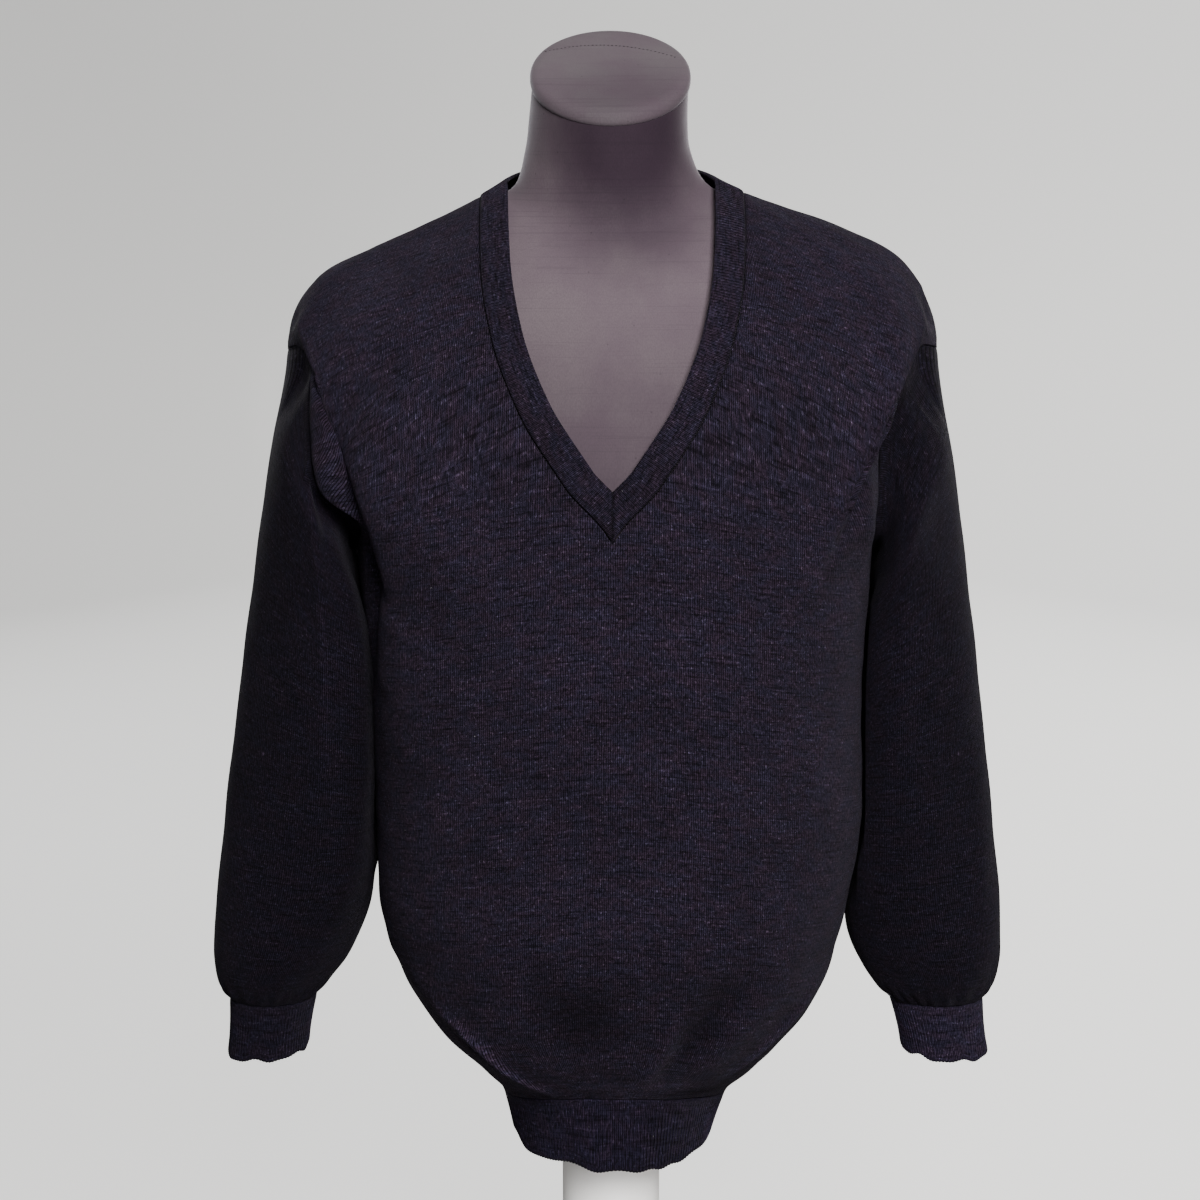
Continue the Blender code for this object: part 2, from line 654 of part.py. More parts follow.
def build_cap(material):
    # A round-edged disc that lies on the tilted top of the neck.
    top = NECK_RINGS[0]
    tilt = math.atan2(top.back_z - top.front_z, top.front + top.back)
    radius = (top.minus_x + top.plus_x) / 2 + CAP_RIM
    profile = (
        (0.4 * radius, CAP_THICKNESS),
        (0.86 * radius, CAP_THICKNESS),
        (0.96 * radius, 0.86 * CAP_THICKNESS),
        (radius, 0.55 * CAP_THICKNESS),
        (radius, 0.2 * CAP_THICKNESS),
        (0.975 * radius, 0.0),
    )
    middle_x = (top.plus_x - top.minus_x) / 2
    middle = Vector((middle_x, 0, (top.front_z + top.back_z) / 2 + SEAM_GAP))
    bm = bmesh.new()
    rings = []
    for reach, height in profile:
        ring = []
        for k in range(ROUND_COLUMNS):
            angle = 2 * math.pi * k / ROUND_COLUMNS
            x = reach * math.cos(angle)
            y = reach * math.sin(angle) * top.front / (radius - CAP_RIM)
            ring.append(middle + Vector((x, y, y * math.tan(tilt) + height)))
        rings.append(ring)
    rows = closed_rows(add_points(bm, rings))
    add_sheet(bm, rows)
    bm.faces.new(rows[0][:-1])
    bm.faces.new(rows[-1][:-1])
    return new_object("neck_cap", bm, material)


def turned_solid(name, profile, material):
    # A closed solid from radius and height pairs, from the middle of its top to that of its underside.
    bm = bmesh.new()
    rings = []
    for radius, z in profile:
        angles = (2 * math.pi * k / ROUND_COLUMNS for k in range(ROUND_COLUMNS))
        rings.append([Vector((radius * math.sin(a), -radius * math.cos(a), z)) for a in angles])
    rows = closed_rows(add_points(bm, rings))
    add_sheet(bm, rows)
    bm.faces.new(rows[0][:-1])
    bm.faces.new(rows[-1][:-1])
    return new_object(name, bm, material)


def build_pole(material):
    top = FORM_BOTTOM + SOCKET_DEPTH - SEAM_GAP
    edge = 0.0015
    profile = (
        (POLE_RADIUS - edge, top),
        (POLE_RADIUS, top - edge),
        (POLE_RADIUS, POLE_FOOT + edge),
        (POLE_RADIUS - edge, POLE_FOOT),
    )
    return turned_solid("stand_pole", profile, material)


def build_base(material):
    # A round plate with a collar, whose socket takes the pole's foot.
    collar = SOCKET_RADIUS + 0.007
    profile = (
        (SOCKET_RADIUS, POLE_FOOT - SEAM_GAP),
        (SOCKET_RADIUS, 0.034),
        (collar - 0.0015, 0.034),
        (collar, 0.0325),
        (collar + 0.001, 0.0200),
        (collar + 0.007, 0.0155),
        (BASE_RADIUS - 0.020, BASE_EDGE),
        (BASE_RADIUS - 0.004, BASE_EDGE - 0.002),
        (BASE_RADIUS, BASE_EDGE - 0.006),
        (BASE_RADIUS, 0.002),
        (BASE_RADIUS - 0.002, 0.0),
    )
    return turned_solid("stand_base", profile, material)


def make_materials():
    made = {}
    for name, (colour, roughness, metallic) in MATERIALS.items():
        material = bpy.data.materials.new(name)
        material.use_nodes = True
        shader = material.node_tree.nodes["Principled BSDF"]
        shader.inputs["Base Color"].default_value = (*colour, 1)
        shader.inputs["Roughness"].default_value = roughness
        shader.inputs["Metallic"].default_value = metallic
        material.diffuse_color = (*colour, 1)
        made[name] = material
    return made


def main():
    clear_scene()
    materials = make_materials()
    front = front_rows()
    back = back_rows()
    build_panel("front", front, materials["knit"])
    build_panel("back", back, materials["knit"])
    build_band(front, back, materials["rib"])
    build_hem(materials["rib"])
    for name, side in (("right", -1), ("left", 1)):
        build_sleeve(f"sleeve_{name}", side, front, back, materials["knit"])
        build_cuff(f"cuff_{name}", side, materials["rib"])
    build_form(materials["jersey"])
    build_cap(materials["jersey"])
    build_pole(materials["pole"])
    build_base(materials["base"])


main()
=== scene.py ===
import math

import bmesh
import bpy
import numpy as np
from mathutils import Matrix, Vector


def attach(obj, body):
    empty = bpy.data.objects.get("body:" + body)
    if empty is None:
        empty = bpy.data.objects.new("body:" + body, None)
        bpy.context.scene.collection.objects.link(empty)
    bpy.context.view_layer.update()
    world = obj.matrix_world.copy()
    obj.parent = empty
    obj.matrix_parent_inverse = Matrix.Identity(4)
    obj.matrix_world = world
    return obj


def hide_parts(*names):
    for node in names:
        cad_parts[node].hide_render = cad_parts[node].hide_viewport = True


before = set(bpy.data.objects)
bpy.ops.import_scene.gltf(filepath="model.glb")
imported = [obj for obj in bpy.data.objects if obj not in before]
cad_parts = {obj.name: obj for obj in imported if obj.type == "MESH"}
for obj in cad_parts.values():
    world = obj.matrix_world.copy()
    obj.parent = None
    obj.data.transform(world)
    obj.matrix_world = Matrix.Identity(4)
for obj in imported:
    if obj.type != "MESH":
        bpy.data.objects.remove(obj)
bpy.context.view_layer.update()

# Metres, +Z up, front towards -Y. Right and left are the wearer's, so right is -X.
# An angle round the body is 0 at the front middle and grows towards +X.

# ---- the garment's shape, from the same numbers as its solids
body = {
    # half width right, half width left, depth front, depth back, height right, height left,
    # height front, height back, squareness, dip
    "rings": (
        (0.0755, 0.074, 0.058, 0.066, 1.025, 1.0265, 0.996, 1.04, 2.0, 1.2),
        (0.0935, 0.0925, 0.07, 0.078, 1.0155, 1.019, 0.98, 1.018, 2.0, 1.4),
        (0.13, 0.129, 0.09, 0.095, 0.998, 1.0065, 0.942, 0.985, 2.0, 1.5),
        (0.17, 0.169, 0.107, 0.108, 0.98, 0.992, 0.893, 0.942, 2.1, 1.6),
        (0.21, 0.208, 0.118, 0.116, 0.959, 0.97, 0.835, 0.893, 2.2, 1.6),
        (0.233, 0.234, 0.124, 0.121, 0.91, 0.911, 0.768, 0.83, 2.3, 1.6),
        (0.185, 0.188, 0.13, 0.124, 0.76, 0.758, 0.705, 0.735, 2.4, 1.6),
        (0.177, 0.184, 0.133, 0.126, 0.66, 0.66, 0.64, 0.65, 2.4, 1.6),
        (0.175, 0.186, 0.136, 0.128, 0.58, 0.58, 0.572, 0.575, 2.4, 1.6),
        (0.1745, 0.179, 0.137, 0.129, 0.515, 0.515, 0.512, 0.508, 2.4, 1.6),
        (0.16, 0.162, 0.131, 0.124, 0.448, 0.448, 0.452, 0.438, 2.3, 1.6),
        (0.131, 0.133, 0.121, 0.112, 0.399, 0.399, 0.412, 0.384, 2.2, 1.6),
        (0.099, 0.109, 0.111, 0.101, 0.367, 0.367, 0.39, 0.35, 2.1, 1.6),
        (0.0835, 0.0895, 0.1, 0.092, 0.348, 0.348, 0.376, 0.342, 2.1, 1.6),
        (0.0745, 0.079, 0.09, 0.084, 0.316, 0.319, 0.317, 0.3, 2.1, 1.6),
    ),
    "neckSeam": 1, "shoulderEnd": 5, "underarm": 6, "ribTop": 13,
    # height and half width of the front neckline
    "neckline": (
        (0.788, 0.0), (0.8229, 0.0302), (0.8679, 0.06), (0.9186, 0.0811), (0.9745, 0.0911), (1.017, 0.093),
    ),
    "seekSteps": 36,  # halvings by which the neckline is found on the rings
    # degrees by which the sewn edge turns in, at even steps from the shoulder's end to the underarm
    "armholeFront": (0, 17, 20, 20, 20, 20, 20, 20, 19, 14, 0),
    "armholeBack": (0, 11, 18, 23, 26, 27, 26, 23, 18, 11, 0),
    # how far the cloth at the front of the right and the left armhole is pulled outwards, forwards
    # and up, in millimetres, at even steps of the ring rows from "pullStart", and the angles
    # between which it takes hold and lets go
    "pullStart": 4.4, "pullStep": 0.1, "pullAngles": ((50, 68, 76, 90), (38, 58, 76, 90)),
    "pull": (
        (
            (0, 0, 0), (-1.5, 1.1, 2.6), (-3.7, 2.7, 6.5), (-6, 4.3, 10.3), (-7.7, 5.6, 13.3),
            (-9.4, 6.8, 16.1), (-11.5, 8.3, 19.8), (-12.5, 9, 21.5), (-6, 10.3, 23.1), (-1.4, 11.8, 19),
            (4.3, 12.3, 15.3), (10.1, 11.8, 13.5), (12.6, 11.3, 13.2), (8.6, 8.8, 18.7), (1, 7.6, 22.7),
            (-4, 3.4, 16.5), (-3, 2.4, 12), (-2, 1.6, 8), (-1.2, 0.9, 4.5), (-0.5, 0.4, 2), (0, 0, 0),
        ),
        (
            (0, 0, 0), (-1.1, 0.5, 1.5), (-2.8, 1.3, 3.9), (-5.2, 2.3, 7.2), (-7.8, 3.5, 10.9),
            (-11, 4.9, 15.3), (-14.4, 6.4, 20.1), (-15.7, 6.9, 21.8), (-16.3, 10, 29.3), (-18, 13.5, 29.9),
            (-19.7, 11.9, 28.6), (-15.8, 9.4, 25.1), (-9.8, 6.8, 21.8), (-4.1, 3.2, 18.3), (-1, -3.1, 14.1),
            (-0.5, -5, 7.8), (-0.4, -3.2, 5.6), (-0.3, -2, 3.8), (-0.2, -1, 2.2), (-0.1, -0.4, 1), (0, 0, 0),
        ),
    ),
    # soft folds: angle at the top and bottom, heights between, width in degrees, height
    "folds": (
        (-48, -56, 0.88, 0.6, 13, 0.004), (54, 62, 0.9, 0.7, 13, 0.006),
        (-52, -34, 0.47, 0.37, 12, 0.005), (-74, -54, 0.47, 0.37, 12, -0.004),
        (27, 38, 0.45, 0.37, 12, 0.004), (6, 12, 0.45, 0.38, 12, -0.003),
        (68, 60, 0.47, 0.38, 13, 0.004), (214, 206, 0.84, 0.56, 14, 0.005),
        (146, 154, 0.84, 0.56, 14, 0.005), (168, 160, 0.46, 0.36, 13, 0.004),
        (196, 204, 0.46, 0.36, 13, -0.003),
    ),
    # lines on the cloth: points of angle and height, then the half width and height of the crease there,
    # then the half width and amount of painted highlight (below 0) and of painted shade (above 0) laid along
    # it
    "lines": (
        (((-50, 0.444), (-42, 0.434), (-37, 0.416), (-35, 0.402), (-32, 0.388), (-28, 0.378)),
         (0.0038, 0.005), (0.0021, -2.0)),
        (((-60, 0.43), (-51, 0.413), (-45, 0.398)), (0.01, -0.008), (0.01, 0.62)),
        (((-10, 0.476), (-8, 0.445), (-6, 0.41)), (0.019, -0.007), (0.019, 0.72)),
        (((27, 0.476), (24, 0.445), (19, 0.408)), (0.015, -0.007), (0.015, 0.72)),
        (((14, 0.448), (13, 0.418), (11, 0.39)), (0.006, 0.004), (0.0055, -0.45)),
        (((62, 0.45), (55, 0.425), (48, 0.4), (42, 0.385)), (0.006, 0.0035), (0.005, -0.6)),
        # hollows along the armholes, and the edge of the pouch beside the left sleeve
        (((-52, 0.905), (-53, 0.87), (-54, 0.835), (-56, 0.8), (-60, 0.765), (-68, 0.73), (-74, 0.68)),
         (0.012, -0.0105), None),
        (((-84, 0.945), (-84, 0.915)), (0.01, -0.0035), None),
        (((84, 0.955), (84, 0.94), (84, 0.915)), (0.011, -0.0055), None),
        (((72, 0.96), (61, 0.905), (55, 0.863), (56, 0.815), (59, 0.785), (66, 0.758), (72, 0.74)),
         (0.009, 0.005), None),
        # drag lines from the right underarm
        (((-62, 0.735), (-48, 0.72), (-36, 0.712)), (0.005, 0.0012), None),
        (((-66, 0.69), (-52, 0.668), (-40, 0.655)), (0.006, 0.0012), None),
        # painted highlight in a band over the hem rib
        (((-38, 0.386), (-18, 0.384), (0, 0.384), (18, 0.384), (38, 0.386)), None, (0.008, -1.0)),
    ),
    "lineRadius": 0.11,  # turns an angle into a length beside a height
    "lineEnd": 0.04, "lineFade": 0.6,
    "knitWall": 0.0016, "ribWall": 0.002, "seamGap": 0.0003,
}
creases = [(points, *crease) for points, crease, _ in body["lines"] if crease]
paintedLightAndShadeLines = [(points, *paintedLightAndShade) for points, _, paintedLightAndShade in body["lines"] if paintedLightAndShade]


def limitedSlope(behind, ahead):
    # the mean of the steps beside a row, near the smaller one, and level where they turn back
    mean = (behind + ahead) / 2
    most = 1.5 * np.minimum(np.abs(behind), np.abs(ahead))
    near = np.clip(mean, -most, most)
    return np.where(behind * ahead > 0, near, np.where(behind * ahead < 0, 0.0, mean))


def between(rows, place):
    # rows of numbers read at places between them, on a smooth curve
    rows = np.asarray(rows, float)
    last = len(rows) - 1
    place = np.clip(np.asarray(place, float), 0.0, last)
    low = np.minimum(place.astype(int), last - 1)
    t = (place - low)[..., None]
    before, first, second, after = (rows[np.clip(low + k, 0, last)] for k in (-1, 0, 1, 2))
    slopeFirst = limitedSlope(first - before, second - first)
    slopeSecond = limitedSlope(second - first, after - second)
    return (
        (2 * t**3 - 3 * t**2 + 1) * first + (t**3 - 2 * t**2 + t) * slopeFirst
        + (3 * t**2 - 2 * t**3) * second + (t**3 - t**2) * slopeSecond
    )


def unit(vectors):
    return vectors / np.maximum(np.linalg.norm(vectors, axis=-1, keepdims=True), 1e-12)


def ringPoint(rows, angle, place):
    # a point on a ring, which is a squared oval with its sides and its middles at different heights
    values = np.moveaxis(between(rows, place), -1, 0)
    right, left, front, back, rightZ, leftZ, frontZ, backZ, square, dip = values
    across, ahead = np.sin(angle), np.cos(angle)
    half, sideZ = np.where(across > 0, left, right), np.where(across > 0, leftZ, rightZ)
    depth, middleZ = np.where(ahead > 0, front, back), np.where(ahead > 0, frontZ, backZ)
    x = np.sign(across) * half * np.abs(across) ** (2 / square)
    y = -np.sign(ahead) * depth * np.abs(ahead) ** (2 / square)
    z = sideZ + (middleZ - sideZ) * np.abs(ahead) ** dip
    return np.stack([x, y, z], -1)


def ringNormal(rows, angle, place, step=0.01):
    last = len(rows) - 1
    around = ringPoint(rows, angle + step, place) - ringPoint(rows, angle - step, place)
    lower, upper = np.minimum(place + step, last), np.maximum(place - step, 0)
    down = ringPoint(rows, angle, lower) - ringPoint(rows, angle, upper)
    return unit(np.cross(down, around))


def shortWay(degrees):
    # an angle in degrees, from -180 to 180
    return (degrees + 180) % 360 - 180


def softFolds(angle, z):
    degrees = np.degrees(angle)
    total = np.zeros(np.broadcast(angle, z).shape)
    for topAngle, bottomAngle, top, bottom, width, height in body["folds"]:
        share = (top - z) / (top - bottom)
        off = shortWay(degrees - (topAngle + (bottomAngle - topAngle) * share))
        along = np.where((share > 0) & (share < 1), np.sin(np.pi * np.clip(share, 0, 1)), 0.0)
        total += height * along * np.exp(-((off / width) ** 2))
    return total


def lineHeight(angle, z, lines, radius):
    # lines drawn on the cloth, each a rounded ridge or hollow that fades out at its ends
    flat = np.stack([np.radians(shortWay(np.degrees(angle))) * radius, z + 0 * angle], -1)
    total = np.zeros(flat.shape[:-1])
    for points, width, height in lines:
        line = np.array([(math.radians(a) * radius, h) for a, h in points])
        lengths = np.concatenate([[0], np.cumsum(np.linalg.norm(np.diff(line, axis=0), axis=1))])
        nearest, reached = np.full(total.shape, np.inf), np.zeros(total.shape)
        for k in range(len(line) - 1):
            way = line[k + 1] - line[k]
            t = np.clip(((flat - line[k]) @ way) / (way @ way), 0, 1)
            distance = np.linalg.norm(flat - (line[k] + t[..., None] * way), axis=-1)
            closer = distance < nearest
            nearest = np.where(closer, distance, nearest)
            reached = np.where(closer, lengths[k] + t * (lengths[k + 1] - lengths[k]), reached)
        inside = np.clip(reached / lengths[-1], body["lineEnd"], 1 - body["lineEnd"])
        total += height * np.sin(np.pi * inside) ** body["lineFade"] * np.exp(-((nearest / width) ** 2))
    return total


def clothPoint(angle, place, fine=False):
    # a point of the worn cloth and the way out of it, with creases and the pull at the armholes if fine
    point = ringPoint(body["rings"], angle, place)
    normal = ringNormal(body["rings"], angle, place)
    height = softFolds(angle, point[..., 2])
    if fine:
        height = height + lineHeight(angle, point[..., 2], creases, body["lineRadius"])
        point = point + armholePull(angle, place)
    return point + normal * height[..., None], normal


def armholePull(angle, place):
    degrees = shortWay(np.degrees(angle))
    turn = np.abs(degrees)
    start, full, ease, end = (
        np.where(degrees > 0, left, right) for right, left in zip(*body["pullAngles"])
    )
    hold = smoothStep(turn, start, full) * (1 - smoothStep(turn, ease, end))
    row = (place + 0 * angle - body["pullStart"]) / body["pullStep"]
    right, left = (between(table, row) for table in body["pull"])
    pull = np.where((degrees > 0)[..., None], left, right) / 1000
    side = np.where(degrees > 0, 1.0, -1.0)
    return np.stack([pull[..., 0] * side, -pull[..., 1], pull[..., 2]], -1) * hold[..., None]


def necklineHalfWidth(z):
    heights = np.array([h for h, _ in body["neckline"]])
    place = np.interp(z, heights, np.arange(len(heights)))
    return np.where(z <= heights[0], 0.0, between(body["neckline"], place)[..., 1])


def frontStart(angle):
    # the ring row at which the front panel starts, on the neckline
    low = np.full(np.shape(angle), float(body["neckSeam"]))
    high = np.full(np.shape(angle), float(body["shoulderEnd"]))
    for _ in range(body["seekSteps"]):
        middle = (low + high) / 2
        point = ringPoint(body["rings"], angle, middle)
        above = np.abs(point[..., 0]) < necklineHalfWidth(point[..., 2])
        low, high = np.where(above, middle, low), np.where(above, high, middle)
    return high


def armholeTurn(place, degrees):
    # how far round the sewn edge of an armhole turns in, in radians
    share = np.clip((place - body["shoulderEnd"]) / (body["underarm"] - body["shoulderEnd"]), 0, 1)
    steps = np.array(degrees, float)[:, None]
    return np.radians(between(steps, share * (len(steps) - 1))[..., 0])


def smoothStep(value, low, high):
    t = np.clip((value - low) / (high - low), 0, 1)
    return t * t * (3 - 2 * t)


def crowded(values, tight=0.35):
    # even steps from 0 to 1, drawn towards both ends
    return values - tight * np.sin(2 * np.pi * values) / (2 * np.pi)


# ---- making meshes
meshing = {"edge": 1e-6, "weld": 1e-5}  # how near a share is to an edge, and points to each other


def sheetMesh(name, columns, rows, shape, closed=False, outward=None):
    # a grid that the shape function lays on a surface: it gives points, their flat place in metres
    # and how much a seam and painted shade darken the cloth there, below 0 a painted highlight
    bm = bmesh.new()
    bmesh.ops.create_grid(bm, x_segments=columns, y_segments=rows, size=1.0)
    bm.verts.ensure_lookup_table()
    flat = np.array([vert.co for vert in bm.verts])
    u, v = (flat[:, 0] + 1) / 2, (1 - flat[:, 1]) / 2
    points, cut, *seam = shape(u, v)
    layer = bm.loops.layers.uv.new("cloth")
    seamAndPaintedShadeLayer = bm.verts.layers.float.new("seam")
    for face in bm.faces:
        for loop in face.loops:
            loop[layer].uv = cut[loop.vert.index]
    sewn = seam[0] if seam else np.zeros(len(points))
    for vert, point, share in zip(bm.verts, points, sewn):
        vert.co = point
        vert[seamAndPaintedShadeLayer] = share
    if closed:
        edge = [vert for vert, share in zip(bm.verts, u) if min(share, 1 - share) < meshing["edge"]]
        bmesh.ops.remove_doubles(bm, verts=edge, dist=meshing["weld"])
    centre = np.mean(points, axis=0)
    turned = 0.0
    for face in bm.faces:
        middle = face.calc_center_median()
        axis = outward(middle) if outward else Vector((middle.x - centre[0], middle.y - centre[1], 0))
        turned += face.normal.dot(axis) * face.calc_area()
    if turned < 0:
        bmesh.ops.reverse_faces(bm, faces=bm.faces)
    return finishMesh(name, bm)


def finishMesh(name, bm):
    bm.normal_update()
    mesh = bpy.data.meshes.new(name)
    bm.to_mesh(mesh)
    bm.free()
    mesh.shade_smooth()
    piece = bpy.data.objects.new(name, mesh)
    bpy.context.scene.collection.objects.link(piece)
    return piece


def giveWall(piece, wall):
    solidify = piece.modifiers.new("wall", "SOLIDIFY")
    solidify.thickness = wall
    solidify.offset = -1


def outFromBody(middle):
    return Vector((middle.x, middle.y, 0))


# ---- node helpers
def join(tree, socket, value):
    if isinstance(value, bpy.types.NodeSocket):
        tree.links.new(value, socket)
    elif isinstance(value, tuple) and len(value) == 3 and socket.type == "RGBA":
        socket.default_value = (*value, 1.0)
    else:
        socket.default_value = value


def addNode(tree, kind, values=None, **settings):
    node = tree.nodes.new(kind)
    for name, value in settings.items():
        setattr(node, name, value)
    for key, value in (values or {}).items():
        join(tree, node.inputs[key], value)
    return node


def calc(tree, operation, *values):
    node = addNode(tree, "ShaderNodeMath", operation=operation)
    for socket, value in zip(node.inputs, values):
        join(tree, socket, value)
    return node.outputs[0]


def stretched(tree, vector, scale, offset=(0, 0, 0)):
    node = addNode(tree, "ShaderNodeMapping", {"Vector": vector})
    node.inputs["Scale"].default_value = scale
    node.inputs["Location"].default_value = offset
    return node.outputs["Vector"]


def noise(tree, place, layer):
    # a noise over a place: its stretch, offset, detail and roughness, and limits to spread it between
    stretch, offset, detail, roughness, *limits = layer
    values = {
        "Vector": stretched(tree, place, stretch, offset), "Scale": 1.0, "Detail": detail,
        "Roughness": roughness,
    }
    value = addNode(tree, "ShaderNodeTexNoise", values).outputs["Fac"]
    return ranged(tree, value, *limits) if limits else value


def ranged(tree, value, low, high, first=0.0, second=1.0):
    node = addNode(tree, "ShaderNodeMapRange", interpolation_type="SMOOTHSTEP")
    for socket, number in zip(node.inputs, (value, low, high, first, second)):
        join(tree, socket, number)
    return node.outputs[0]


def mixColour(tree, share, first, second, blend="MIX"):
    node = addNode(tree, "ShaderNodeMix", data_type="RGBA", blend_type=blend)
    for index, value in ((0, share), (6, first), (7, second)):
        join(tree, node.inputs[index], value)
    return node.outputs[2]


def newGroup(name, inputs, outputs):
    group = bpy.data.node_groups.new(name, "ShaderNodeTree")
    for label, kind, value in inputs:
        socket = group.interface.new_socket(label, in_out="INPUT", socket_type=kind)
        if value is not None:
            socket.default_value = value
    for label, kind in outputs:
        group.interface.new_socket(label, in_out="OUTPUT", socket_type=kind)
    given, out = group.nodes.new("NodeGroupInput"), group.nodes.new("NodeGroupOutput")
    return group, given.outputs, out.inputs


def newMaterial(name, **shaderValues):
    material = bpy.data.materials.new(name)
    material.use_nodes = True
    shader = material.node_tree.nodes["Principled BSDF"]
    for key, value in shaderValues.items():
        join(material.node_tree, shader.inputs[key.replace("_", " ")], value)
    return material, material.node_tree, shader


def addRelief(tree, shader, height, distance, strength):
    relief = addNode(tree, "ShaderNodeBump", {"Height": height, "Distance": distance, "Strength": strength})
    join(tree, shader.inputs["Normal"], relief.outputs[0])


# ---- knitted wool
wool = {
    "wale": 0.00155, "course": 0.00105,
    "deep": (0.0055, 0.0042, 0.0072), "main": (0.0178, 0.0126, 0.0218), "light": (0.058, 0.045, 0.068),
    "bluish": (0.76, 0.93, 1.2), "plum": (1.13, 0.91, 1.05), "tintShare": 0.6,
    "streak": (0.25, 0.25, 0.25), "glint": (1.9, 1.9, 1.9),
    # colour scales for each piece's wool, all of the one yarn: painted shade on the sleeves and the right
    # cuff, painted light on the left cuff, and a bluer tint on the hem rib
    "sleeve": (0.42, 0.43, 0.45), "rib": (1.0, 1.02, 1.16),
    "cuffRight": (0.76, 0.8, 0.86), "cuffLeft": (1.5, 1.55, 1.65),
    # noises over the cloth's flat place: stretch, offset, detail, roughness and limits
    "drift": ((60, 34, 1), (0, 0, 0), 2.0, 0.5),
    "fuzz": ((900, 700, 1), (0, 0, 0), 3.0, 0.6),
    "flecks": ((640, 300, 1), (3, 5, 0), 2.0, 0.7, 0.34, 0.66),
    "pale": ((560, 420, 1), (11, 2, 0), 1.0, 0.5, 0.6, 0.78, 0.0, 0.65),
    "streaks": ((46, 640, 1), (1, 7, 0), 2.0, 0.6, 0.53, 0.66, 0.0, 0.75),
    "bright": ((70, 560, 1), (8, 3, 0), 2.0, 0.6, 0.54, 0.68, 0.0, 0.8),
    "slow": ((60, 95, 1), (4, 9, 0), 4.0, 0.7, 0.38, 0.62),
    "cloudy": ((13, 16, 1), (7, 1, 0), 3.0, 0.6, 0.32, 0.68, 0.88, 1.12),
    "waleWander": 1.5, "stitchLean": 0.85, "stitchRound": 3.0, "legDepth": 0.45, "fuzzDepth": 0.7,
    "valley": (0.15, 0.85, 0.05, 2.0), "ribShade": 0.5, "seamShade": 0.75,
    "lint": (0.16, 0.15, 0.17), "lintSpacing": 0.016, "lintSize": 0.00055, "lintChosen": (0.45, 0.95),
    "bump": 0.00036, "sleeveBump": 0.7, "ribBump": 0.00028,
    "sheen": 0.03, "sheenRoughness": 0.4, "sheenTint": (0.86, 0.8, 1.0, 1.0), "roughness": 0.95,
    "specular": 0.12,
}


